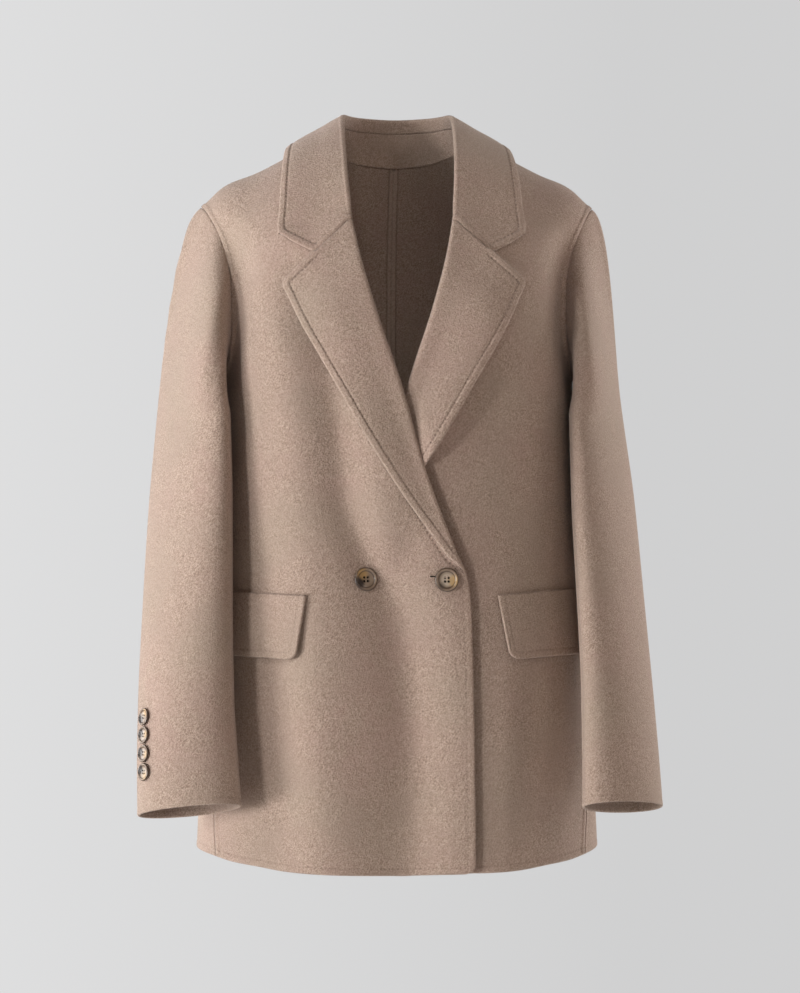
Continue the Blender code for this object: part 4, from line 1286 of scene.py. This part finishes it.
def leaf_frame(along):
    centre, down, away, seam = collar_frame(along)
    end_centre, end_down, end_away = gorge_end()
    near = 1 - ease(along, 0.0, 0.07)[:, None]
    centre = centre + (end_centre - centre[:1]) * near
    down = unit(down + (end_down - down[:1]) * near)
    away = away + (end_away - away[:1]) * near
    away = unit(away - down * (away * down).sum(-1, keepdims=True))
    return centre, down, away, seam


def half_leaf():
    """Points of the leaf from its front end to the centre back, and the column it starts at."""
    along = shares(0.25, 0.0021, last=False, near=0.006)
    centre, down, away, seam = leaf_frame(along)
    inner_top = centre - away * FOLD
    reach = np.linalg.norm(seam - inner_top, axis=-1)
    inner = np.minimum(STAND_SEAM_DROP - FOLD, np.maximum(reach - STAND_LIFT, 0.001))[:, None]
    way = np.where((reach > 0.002)[:, None], unit(seam - inner_top), down)
    inside = (1 - shares(0.012, 0.0020, last=False))[:-1]
    columns = [inner_top + way * inner * share for share in inside]
    for angle in math.pi * np.linspace(0, 1, 12):
        columns.append(centre - FOLD * (away * math.cos(angle) + down * math.sin(angle)))
    leaf_start = len(columns) - 1
    start = columns[-1]
    edge = collar_line(COLLAR_EDGE, along)
    bulge = LEAF_BULGE * ease(along, 0.0, 0.4)[:, None]
    gorge = np.array([(abs(start[0, 0]), start[0, 2]), NOTCH, COLLAR_CORNER])
    knots = run_of(gorge)
    knots = knots / knots[-1]
    fade = np.clip(1 - along / ON_LAPEL, 0, 1)[:, None] ** 1.7
    trim = rounded(np.linalg.norm(edge - edge[:1], axis=-1), LEAF_CORNER) / LEAF_LENGTH
    for share in shares(LEAF_LENGTH, 0.0023, first=False)[1:]:
        reached = share * (1 - trim)[:, None]
        point = start + (edge - start) * reached + away * bulge * reached * (1 - reached)
        sprung = ease(reached, 0.3, 1.0) * ease(along, 0.9, 0.5)[:, None]
        point = point + away * LEAF_SPRING * sprung
        here = float(share * (1 - trim[0]))
        out, z = (np.interp(here, knots, gorge[:, k]) for k in (0, 1))
        height = 2 * FOLD - CLOTH / 2 + LEAF_CLEAR + LEAF_RISE * here
        height = height + LEAF_SPRING * ease(here, knots[1], 1.0)
        end = on_front(1, out - 0.00008, z + 0.0004, height)
        columns.append(point + (end - point[0]) * fade)
    return np.stack(columns, axis=1), leaf_start


def whole(half):
    """Both sides from a half that runs from the front end to the centre back."""
    half = half.copy()
    half[-1, :, 0] = 0
    return np.concatenate([half[:-1] * np.array([-1, 1, 1]), half[::-1]])


# %% Make the leaf and the stand


def build_leaf():
    half, leaf_start = half_leaf()
    grid = whole(half)
    notch = on_front(-1, *NOTCH, 0.002)
    split = leaf_start + int(np.linalg.norm(grid[0, leaf_start:] - notch, axis=-1).argmin())
    ends = (grid[0], grid[-1])
    cloth(
        "wool_collar_leaf",
        grid,
        (len(half) - 1, grid.shape[1] - 12, (0, 1, 0.3)),
        edges=[
            (grid[:, -1], 1.0),
            *((end[split:], 1.0, "fades in") for end in ends),
            *((end[leaf_start : split + 1], 0.45) for end in ends),
        ],
        seams=[*(end[: split + 1] for end in ends), grid[:, 0]],
    )


def build_stand():
    along = np.linspace(STAND_START, 1, 95)
    centre, _, away, seam = collar_frame(along)
    inner_top = centre - away * FOLD
    top = STAND_SEAM_DROP - FOLD + SEAM_GAP
    bottom = np.maximum(np.linalg.norm(seam - inner_top, axis=-1) + 0.0012, top + 0.002)
    share = np.linspace(0, 1, 19)
    drop = top + (bottom - top)[:, None] * share[None]
    half = inner_top[:, None] + unit(seam - inner_top)[:, None] * drop[..., None]
    half = half - away[:, None] * 0.0010 * ease(share, 0.75, 1.0)[None, :, None]
    grid = whole(half)
    cloth("wool_collar_stand", grid, (len(half) - 1, 9, (0, -1, 0)), seams=[grid[:, 0]])


build_leaf()
build_stand()

# %% [markdown]
# ## Sleeves
#
# A tailored sleeve has two pieces: a wide one over the arm and a narrow one beneath it, with a
# bend forward at the elbow. At the armhole the sleeve sits just outside the body's edge, which
# stands up as a small ridge; from there each line of the sleeve leaves the armhole in its own
# direction and bends down smoothly to the level of the upper arm.

# %% Sleeve sizes
SLEEVE = {
    -1: table("""
z inner outer y depth skew pitch roll
-0.653 0.1625 0.2665 -0.1250 0.0370 12 0.143 -0.080
-0.600 0.1660 0.2672 -0.1160 0.0410 16 0.130 -0.040
-0.545 0.1695 0.2665 -0.1040 0.0460 22 0.110 -0.020
-0.445 0.1710 0.2625 -0.0780 0.0540 32 0.080 0.000
-0.343 0.1712 0.2570 -0.0500 0.0630 42 0.040 0.000
-0.260 0.1730 0.2500 -0.0290 0.0690 48 0.000 0.000
"""),
    1: table("""
z inner outer y depth skew pitch roll
-0.651 0.1780 0.2645 -0.1230 0.0430 34 0.155 0.030
-0.600 0.1785 0.2620 -0.1140 0.0450 36 0.140 0.015
-0.545 0.1785 0.2590 -0.1020 0.0490 38 0.120 0.000
-0.445 0.1757 0.2530 -0.0770 0.0560 42 0.080 0.000
-0.343 0.1722 0.2470 -0.0500 0.0640 46 0.040 0.000
-0.260 0.1715 0.2385 -0.0290 0.0690 50 0.000 0.000
"""),
}
BICEPS_Z, CUFF_Z = -0.260, {-1: -0.653, 1: -0.651}
HEAD_SHARE = 0.35
INSEAM_ANGLE, BACK_SEAM_ANGLE = -168.0, 62.0
CUFF_SEAM_ANGLE = {-1: -12.0, 1: 60.0}
SEAM_ANGLE = 0.30  # half the gap of a sleeve's seam, in degrees
FRONT_FOLD = 0.011  # how far the sleeve's front swells over the armhole seam
CROWN_FOLD = 0.026  # the same beside the chest
CUFF_TILT = 0.0035  # how far a cuff's front edge is raised and its back edge lowered
print("cuffs hang at", CUFF_Z)

# %% Where a sleeve starts


def armhole_start(angle):
    """The sleeve's first points at angles of the armhole, and the directions they set off in."""
    y, z = ARMHOLE.at(angle, "y"), ARMHOLE.at(angle, "z")
    turn = turn_at(y, z)
    point, normal = form(turn, z), outward(turn, z)
    ends = []
    for step in (-4, 4):
        other = ARMHOLE.at(angle + step, "y"), ARMHOLE.at(angle + step, "z")
        ends.append(form(turn_at(*other), other[1]))
    along = ends[1] - ends[0]
    top = np.abs(angle) < 1
    point[top] = (ARMHOLE_TOP[0], 0, ARMHOLE_TOP[1])
    normal[top] = unit(np.array([0.62, 0.0, 0.78]))
    along[top] = (0, 1, 0)
    onward = unit(np.cross(along, normal))
    onward *= np.sign(((ARMHOLE_MIDDLE - point) * onward).sum(-1, keepdims=True))
    high = 0.5 * (1 + np.cos(np.radians(angle)))[:, None]
    down = np.array([0.0, 0.0, -1.0]) * (0.15 + 0.55 * (1 - high))
    way = unit(onward * high + normal * (0.30 + 0.7 * (1 - high)) + down)
    low = ease(np.abs(angle), 80, 150)[:, None]
    bulge = np.sqrt(np.maximum(1 - (way * onward).sum(-1, keepdims=True) ** 2, 0))
    aside = (CLOTH / 2 * bulge + SEAM_GAP) * (1 - low)
    above = (CLOTH + SEAM_GAP) * low - CLOTH / 2
    return point + normal * above + onward * aside, way


START_ANGLES = np.array([*range(-180, -11, 4), -9.0, 0.0, 9.0, *range(12, 181, 4)], float)
START_POINTS, START_WAYS = armhole_start(START_ANGLES)


def between_starts(angle):
    angle = (angle + 180) % 360 - 180
    start, way = (
        stacked(*(np.interp(angle, START_ANGLES, values[:, k]) for k in range(3)))
        for values in (START_POINTS, START_WAYS)
    )
    return start, unit(way)


print("a sleeve sets off in", len(START_ANGLES), "directions")

# %% Sleeve surface


def sleeve_section(side, angle, z):
    arm = SLEEVE[side]
    inner, outer = arm.at(z, "inner"), arm.at(z, "outer")
    half, middle = (outer - inner) / 2, (outer + inner) / 2
    depth = arm.at(z, "depth") - CLOTH / 2
    turn = np.radians(angle)
    across = (half - CLOTH / 2) * np.cos(turn)
    along = depth * np.sin(turn + np.radians(arm.at(z, "skew")))
    level = z - arm.at(z, "pitch") * along + arm.at(z, "roll") * across
    return stacked(middle + across, arm.at(z, "y") + along, level)


def sleeve_head(side, angle, share):
    start, way = between_starts(angle)
    end = sleeve_section(side, angle, BICEPS_Z)
    below = sleeve_section(side, angle, BICEPS_Z - 0.03)
    length = np.linalg.norm(end - start, axis=-1, keepdims=True)
    high = 0.5 * (1 + np.cos(np.radians(angle)))[..., None]
    full = 1.0 if side < 0 else 1.0 - 0.18 * high
    leave = way * length * (0.55 - 0.15 * high) * full
    arrive = unit(below - end) * length * 0.95
    t = share[..., None]
    round_to_front = (angle + 185) % 360 - 185
    forward = hump(round_to_front, -138, 34)[..., None]
    arch = np.sin(math.pi * np.clip(t, 0, 1))
    swell = arch**1.3 * (1 - 0.35 * t)
    crown = hump(round_to_front, -82, 36)[..., None] * arch**0.8
    fold = FRONT_FOLD * forward * swell * np.array([-0.55, -0.85, 0.0])
    fold = fold + CROWN_FOLD * crown * np.array([-0.15, -1.0, 0.0])
    return fold + bend(t, start, leave, end, arrive)


def back_seam(side, down):
    return BACK_SEAM_ANGLE + (CUFF_SEAM_ANGLE[side] - BACK_SEAM_ANGLE) * ease(down, 0.0, 0.9)


def sleeve_surface(side, part, down, share):
    """Points at how far down the sleeve and how far round its piece they are, both from 0 to 1."""
    down, share = np.asarray(down, float)[:, None], np.asarray(share, float)[None]
    if part == "top":
        first, last = back_seam(side, down) - SEAM_ANGLE, INSEAM_ANGLE + SEAM_ANGLE
    else:
        first, last = INSEAM_ANGLE - SEAM_ANGLE, back_seam(side, down) - 360 + SEAM_ANGLE
    angle = first + (last - first) * share
    head = sleeve_head(side, angle, np.clip(down / HEAD_SHARE, 0, 1) + 0 * angle)
    z = BICEPS_Z - (BICEPS_Z - CUFF_Z[side]) * np.clip((down - HEAD_SHARE) / (1 - HEAD_SHARE), 0, 1)
    lower = sleeve_section(side, angle, z + 0 * angle)
    tilt = CUFF_TILT * ease(down, 0.90, 1.0) * np.sin(np.radians(angle))
    lower[..., 2] -= tilt
    return np.where((down <= HEAD_SHARE)[..., None], head, lower), angle


# %% Make the sleeves


def build_sleeve(side, part):
    size, step = (0.22, 0.0028) if part == "top" else (0.13, 0.0030)
    rows_of = lambda down: sleeve_surface(side, part, down, [0, 0.35, 0.7, 1.0])[0]
    down = even_rows(rows_of, 0, 1, step)
    share = shares(size, step)
    grid, angle = sleeve_surface(side, part, down, share)
    grid = armhole_dipped(grid, grid[0].copy(), sleeve=True) * np.array([side, 1, 1])
    row, column = len(down) // 2, len(share) // 2
    turn = math.radians(angle[row, column])
    facing = (side * math.cos(turn), math.sin(turn + 0.6), 0)
    cloth(
        f"wool_sleeve_{part}_{SIDES[side]}",
        grid,
        (row, column, facing),
        edges=[(grid[-1], 0.2)],
        seams=[grid[0], grid[:, 0], grid[:, -1]],
    )


for side in SIDES:
    for part in ("top", "under"):
        build_sleeve(side, part)

# %% [markdown]
# ## Pocket flaps
#
# Each flap is sewn in at its top edge and hangs free below, so it stands off the coat a little
# more towards its lower edge.

# %% Flaps
FLAP_TOP_Z, FLAP_DEPTH = -0.4385, 0.0630
FLAP_FRONT_OUT, FLAP_BACK_OUT, FLAP_SLANT, FLAP_CORNER = 0.0935, 0.1760, 0.0075, 0.0110
FLAP_TILT = {-1: 0.033, 1: 0.065}
FLAP_FLARE = {-1: 0.0, 1: 0.030}  # how much deeper its far end is
FLAP_GAP, FLAP_SPRING = 0.0010, 0.0042  # how far its two edges stand off the coat


def build_flap(side):
    down, share = shares(0.063, 0.0021)[:, None], shares(0.082, 0.0021)[None]
    front_out = FLAP_FRONT_OUT + FLAP_SLANT * down
    out = front_out + (FLAP_BACK_OUT - front_out) * share
    inside = np.minimum((out - front_out) / FLAP_CORNER, 1)
    bottom = FLAP_DEPTH - FLAP_CORNER * (1 - np.sqrt(1 - (1 - inside) ** 2))
    top = FLAP_TOP_Z + FLAP_TILT[side] * (out - FLAP_FRONT_OUT)
    z = top - bottom * down - FLAP_FLARE[side] * (out - FLAP_FRONT_OUT) * down
    height = layer(side, out, z) + FLAP_GAP + CLOTH / 2 + FLAP_SPRING * down
    grid = relieved(on_front(side, out, z, height))
    outline = np.concatenate([grid[:, 0], grid[-1], grid[::-1, -1]])
    name = f"wool_flap_{SIDES[side]}"
    cloth(name, grid, (5, 5, (0, -1, 0)), edges=[(outline, 0.45)], seams=[grid[0]])


for side in SIDES:
    build_flap(side)

# %% [markdown]
# ## Horn
#
# Horn grows in layers, so a button cut from it is cloudy: dark brown in one place, golden or
# ivory in the next, and usually darkest at its rim. Noise alone would put those clouds anywhere.
# Each button carries four numbers at every point instead: how far out it is, how much of a pale
# and of a dark cloud lies there, and how milky its dish is. The material mixes its colours by
# them and adds only the fine grain by noise. By how far out a point is, it also darkens the groove
# between the rim and the dish, which is painted shade, and the rim from its top outwards.

# %% The horn material


def make_horn():
    n = Nodes("horn", (0.30, 0.20, 0.12))
    place = n.add("ShaderNodeTexCoord", 3)
    grain = n.noise(place, 260.0, 4.0, 0.6)
    drift = n.math("MULTIPLY", n.math("SUBTRACT", grain, 0.5), 0.5)
    pale = n.math("ADD", n.attribute("horn_pale"), drift)
    dark = n.math("ADD", n.attribute("horn_dark"), drift)
    out = n.attribute("horn_out")
    colour = n.mix(grain, (0.120, 0.070, 0.042, 1), (0.340, 0.250, 0.180, 1))
    dish = n.math("MULTIPLY", n.span(out, 0.66, 0.40, 0.0, 0.85), n.attribute("horn_milk"))
    colour = n.mix(dish, colour, (0.480, 0.390, 0.295, 1))
    colour = n.mix(n.span(pale, 0.20, 0.70, 0.0, 0.9), colour, (0.420, 0.260, 0.105, 1))
    colour = n.mix(n.span(dark, 0.20, 0.62, 0.0, 0.94), colour, (0.022, 0.012, 0.008, 1))
    # Painted shade in the groove between the rim and the dish; the colour is also darker from the
    # top of the rim outwards.
    ring = n.math("ADD", n.hump(out, 0.685, 0.045), n.span(out, 0.84, 0.96))
    colour = n.mix(n.math("MULTIPLY", ring, 0.8), colour, (0.030, 0.015, 0.009, 1))
    bump = n.add("ShaderNodeBump", Strength=0.15, Distance=0.0002, Height=grain)
    n.fill(n.shader, Base_Color=colour, Normal=bump)
    n.fill(n.shader, Roughness=0.30, Coat_Weight=0.15, Coat_Roughness=0.12)
    return n.material


def make_thread_and_shade():
    n = Nodes("thread", (0.03, 0.02, 0.015))
    ply = n.noise(n.add("ShaderNodeTexCoord", 3), 900.0, 2.0)
    # Near black: dark thread, and also the painted shade deep in the button holes and in the
    # buttonhole's slit.
    colour = n.mix(ply, (0.006, 0.004, 0.003, 1), (0.020, 0.014, 0.010, 1))
    n.fill(n.shader, Base_Color=colour, Roughness=1.0, Specular_IOR_Level=0.1)
    return n.material


HORN, THREAD_AND_SHADE = make_horn(), make_thread_and_shade()
print("horn nodes:", len(HORN.node_tree.nodes))

# %% [markdown]
# ## One button
#
# The real button is turned on a lathe: a foot, a round-over, a raised rim and a dish. A screw
# modifier could spin that outline. Here it starts from a cylinder instead, and its top face is
# extruded again and again, each time resized and raised to the next ring of the outline, which is
# how a turned part is often built up by hand. A subdivision rounds the rings and four drills, one
# Boolean cut, make the holes.

# %% Turn one button
FRONT_BUTTON, CUFF_BUTTON = 0.0245, 0.0180
BUTTON_RINGS = (  # shares of the radius: out, height
    (0.90, 0.035), (0.985, 0.085), (1.00, 0.16), (0.97, 0.225), (0.90, 0.27), (0.82, 0.275),
    (0.755, 0.24), (0.71, 0.175), (0.62, 0.14), (0.48, 0.125), (0.30, 0.12), (0.12, 0.12),
)
HOLE_OUT, HOLE_RADIUS = 0.00262, 0.00130
HOLES = [
    (x * HOLE_OUT / math.sqrt(2), y * HOLE_OUT / math.sqrt(2))
    for x, y in ((-1, -1), (1, -1), (1, 1), (-1, 1))
]
FOOT_SHARE, FOOT_HEIGHT = 0.70, 0.0004


def clear_selection():
    if bpy.context.mode != "OBJECT":
        bpy.ops.object.mode_set(mode="OBJECT")
    bpy.ops.object.select_all(action="DESELECT")


def cylinder(vertices, radius, depth, place=(0, 0, 0)):
    clear_selection()
    bpy.ops.mesh.primitive_cylinder_add(
        vertices=vertices, radius=radius, depth=depth, location=place
    )
    return bpy.context.object


def joined(pieces):
    """All the pieces as one object, the last of them."""
    for piece in pieces:
        piece.select_set(True)
    bpy.ops.object.join()
    return bpy.context.object


def smoothed(degrees):
    bpy.ops.object.shade_smooth_by_angle(angle=math.radians(degrees))


def top_face_only(piece):
    """Select the one highest face and leave edit mode on."""
    bpy.ops.object.mode_set(mode="EDIT")
    bpy.ops.mesh.select_mode(type="FACE")
    bpy.ops.mesh.select_all(action="DESELECT")
    bpy.ops.object.mode_set(mode="OBJECT")
    faces = [f for f in piece.data.polygons if f.normal.z > 0.9]
    max(faces, key=lambda f: f.center.z).select = True
    bpy.ops.object.mode_set(mode="EDIT")


def model_button():
    radius = FRONT_BUTTON / 2
    foot = FOOT_SHARE * radius
    button = cylinder(32, foot, FOOT_HEIGHT, (0, 0, FOOT_HEIGHT / 2))
    button.name = "button model"
    bpy.ops.object.transform_apply(location=True)
    top_face_only(button)
    width, height = foot, FOOT_HEIGHT
    for share, level in BUTTON_RINGS:
        new_width, new_height = share * radius, level * radius
        rise, grow = new_height - height, new_width / width
        bpy.ops.mesh.extrude_region_move(TRANSFORM_OT_translate={"value": (0, 0, rise)})
        bpy.ops.transform.resize(value=(grow, grow, 1.0), center_override=(0, 0, new_height))
        width, height = new_width, new_height
    bpy.ops.object.mode_set(mode="OBJECT")
    soften = button.modifiers.new("soften", "SUBSURF")
    soften.levels = soften.render_levels = 1
    bpy.ops.object.modifier_apply(modifier="soften")
    return button


def drill_holes(button):
    drill = joined([cylinder(16, HOLE_RADIUS, 0.02, (*hole, 0.0)) for hole in HOLES])
    clear_selection()
    button.select_set(True)
    bpy.context.view_layer.objects.active = button
    cut = button.modifiers.new("holes", "BOOLEAN")
    cut.operation, cut.solver, cut.object = "DIFFERENCE", "EXACT", drill
    bpy.ops.object.modifier_apply(modifier="holes")
    bpy.data.objects.remove(drill, do_unlink=True)
    smoothed(40)


button_model = model_button()
drill_holes(button_model)
print("button model:", len(button_model.data.polygons), "faces, height",
      round(max(v.co.z for v in button_model.data.vertices), 4))

# %% [markdown]
# ## The thread that holds it
#
# Thread passes up and down through the holes and round a short shank between the button and the
# cloth. Only its dark ends show, deep in the holes, so four short posts and a shank are enough.
# Their colour is near black, which is partly the dark thread and partly painted shade in the holes.

# %% Thread shank and posts
SHANK_RADIUS, SHANK_HEIGHT, POST_RADIUS, POST_TOP = 0.0032, 0.0009, 0.00108, 0.0004


def model_thread():
    posts = [cylinder(10, POST_RADIUS, POST_TOP, (*hole, POST_TOP / 2)) for hole in HOLES]
    shank = cylinder(20, SHANK_RADIUS, SHANK_HEIGHT, (0, 0, -SHANK_HEIGHT / 2))
    bpy.ops.object.mode_set(mode="EDIT")
    bpy.ops.mesh.select_all(action="SELECT")
    bpy.ops.mesh.bevel(offset=0.0003, segments=2)
    bpy.ops.object.mode_set(mode="OBJECT")
    model = joined([*posts, shank])
    bpy.ops.object.transform_apply(location=True)
    smoothed(40)
    return model


thread_model = model_thread()
print("thread model:", len(thread_model.data.polygons), "faces")

# %% [markdown]
# ## Buttons in their places
#
# The solid model's buttons say where each one sits and which way it faces. On the right front the
# cloth has been pushed in and out since, so there the new button is seated on the cloth again.

# %% Seats for the buttons


def cad_seat(node):
    """The middle of a solid button's underside and the way it faces."""
    points = np.array([v.co[:] for v in node.data.vertices])
    middle = (points.max(axis=0) + points.min(axis=0)) / 2
    facing = np.linalg.svd(points - points.mean(axis=0), full_matrices=False)[2][2]
    if facing @ (middle - np.array([0.6 * middle[0], 0.02, middle[2]])) < 0:
        facing = -facing
    return middle + facing * ((points - middle) @ facing).min(), facing


def front_seat(out, z, raised):
    """A point on the right front's outer face as it now lies, and the way the cloth faces there."""
    step = 0.006
    outs = out + np.array([0, step, -step, 0, 0])
    levels = z + np.array([0, 0, 0, step, -step])
    points = relieved(on_front(-1, outs, levels, layer(-1, outs, levels)))
    facing = unit(np.cross(points[1] - points[2], points[3] - points[4]))
    facing = facing if facing[1] < 0 else -facing
    return points[0] + facing * raised, facing


left_seat, _ = cad_seat(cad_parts["button_front_left"])
print("the left front button's solid sits at", np.round(left_seat, 4))


def placed(model, name, point, facing, size, material):
    """A copy of a model with its own mesh, set on a point and facing a way, place applied."""
    mesh = model.data.copy()
    across = unit(np.cross((0.0, 0.0, 1.0), facing))
    upright = np.cross(facing, across)
    turned = Matrix(np.stack([across, upright, facing], axis=1).tolist()).to_4x4()
    mesh.transform(Matrix.Translation(point) @ turned @ Matrix.Scale(size, 4))
    mesh.materials.clear()
    mesh.materials.append(material)
    mesh.name = name
    piece = bpy.data.objects.new(name, mesh)
    bpy.context.scene.collection.objects.link(piece)
    return piece


# %% Clouds of each button
# The way to the pale and to the dark cloud in degrees from the right, each with its strength,
# and how milky the dish is.
CLOUDS = {
    "front_right": (128, 1.0, 205, 1.0, 0.2),
    "front_left": (350, 0.95, 230, 0.45, 1.0),
    "cuff_right_1": (60, 0.9, 215, 1.5, 0.3),
    "cuff_right_2": (10, 0.9, 165, 1.5, 0.3),
    "cuff_right_3": (350, 0.9, 175, 1.6, 0.1),
    "cuff_right_4": (310, 0.9, 160, 1.4, 0.35),
    "cuff_left_1": (110, 0.9, 200, 0.9, 0.3),
    "cuff_left_2": (30, 0.7, 260, 0.8, 0.2),
    "cuff_left_3": (200, 0.9, 20, 0.7, 0.4),
    "cuff_left_4": (330, 0.7, 120, 0.9, 0.2),
}
CLOUD_WIDTH, PALE_OUT, DARK_OUT = 0.50, 0.55, 0.75
print("clouds for", len(CLOUDS), "buttons")


def cloud(mesh, horn):
    """Write the horn's four numbers on a button, in the plane it was modelled in."""
    flat = np.array([v.co[:] for v in button_model.data.vertices]) / (FRONT_BUTTON / 2)
    pale_turn, pale, dark_turn, dark, milk = horn
    write_field(mesh, "horn_out", np.hypot(flat[:, 0], flat[:, 1]))
    write_field(mesh, "horn_milk", np.full(len(flat), milk))
    for field, turn, strength, reach in (
        ("horn_pale", pale_turn, pale, PALE_OUT), ("horn_dark", dark_turn, dark, DARK_OUT)
    ):
        x, y = math.cos(math.radians(turn)), math.sin(math.radians(turn))
        spread = np.hypot(flat[:, 0] - reach * x, flat[:, 1] - reach * y)
        write_field(mesh, field, strength * np.exp(-((spread / CLOUD_WIDTH) ** 2)))


# %% Set the buttons
made_buttons = {}
for tag, horn in CLOUDS.items():
    seat, facing = cad_seat(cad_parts["button_" + tag])
    size = CUFF_BUTTON / FRONT_BUTTON
    if tag.startswith("front"):
        size = 1.0
        seat, facing = front_seat(-seat[0], seat[2], SHANK_HEIGHT)
    button = placed(button_model, "horn_button_" + tag, seat, facing, size, HORN)
    cloud(button.data, horn)
    thread = placed(thread_model, "thread_button_" + tag, seat, facing, size, THREAD_AND_SHADE)
    made_buttons[tag] = (button, thread)
    print(tag, "sits at", [round(float(v), 4) for v in seat])

# %% [markdown]
# ## The buttonhole
#
# The left-hand button of the two is only for show; the other passes through a worked buttonhole,
# a slit whose edges are whipped with thread. Its rounded end shows beside the button. It is a
# small ring, pulled out along its length to make a long loop, round a thin dark sheet of painted
# shade where the slit opens.

# %% Work the buttonhole
HOLE_LENGTH, HOLE_END, HOLE_THREAD = 0.0160, 0.0011, 0.00050


def pulled_out(piece):
    """Move the half beyond the middle along X, so that a ring becomes a long loop."""
    bpy.ops.object.mode_set(mode="EDIT")
    bpy.ops.mesh.select_mode(type="VERT")
    bpy.ops.mesh.select_all(action="DESELECT")
    bpy.ops.object.mode_set(mode="OBJECT")
    for vertex in piece.data.vertices:
        vertex.select = vertex.co.x > 1e-5
    bpy.ops.object.mode_set(mode="EDIT")
    bpy.ops.transform.translate(value=(HOLE_LENGTH, 0, 0))
    bpy.ops.object.mode_set(mode="OBJECT")
    smoothed(60)
    return piece


clear_selection()
bpy.ops.mesh.primitive_torus_add(
    major_segments=24, minor_segments=8, major_radius=HOLE_END, minor_radius=HOLE_THREAD,
    location=(0, 0, 0),
)
loop_model = pulled_out(bpy.context.object)
# The slit is a thin dark sheet of painted shade, standing for the shadow inside the opening.
slit_shade_model = pulled_out(cylinder(24, HOLE_END, 0.0004))
hole_seat, hole_facing = front_seat(-0.0258, -0.4195, 0.0001)
buttonhole = placed(loop_model, "thread_buttonhole", hole_seat, hole_facing, 1.0, WOOL)
slit_shade = placed(slit_shade_model, "slit_shade_buttonhole", hole_seat, hole_facing, 1.0, THREAD_AND_SHADE)
for model in (button_model, thread_model, loop_model, slit_shade_model):
    bpy.data.objects.remove(model, do_unlink=True)
print("buttonhole at", [round(float(v), 4) for v in hole_seat])

# %% [markdown]
# ## What each piece stands for
#
# The pieces made here take over from the solid model's, one for one. Each cloth piece also prints
# the flat cut it would be made from, and its area.

# %% Pieces take over from the solid model
cloth_nodes = [
    f"{part}_{word}"
    for word in SIDES.values()
    for part in ("front", "back", "flap", "sleeve_top", "sleeve_under")
]
for node in (*cloth_nodes, "collar_leaf", "collar_stand"):
    piece, flat, area = made_cloth["wool_" + node]
    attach(piece, "root")
    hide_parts(node)
    print(node, "flat", flat, "area", area)

for tag, (button, thread) in made_buttons.items():
    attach(button, "root")
    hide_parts("button_" + tag)
    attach(thread, "root")
for piece in (buttonhole, slit_shade):
    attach(piece, "root")
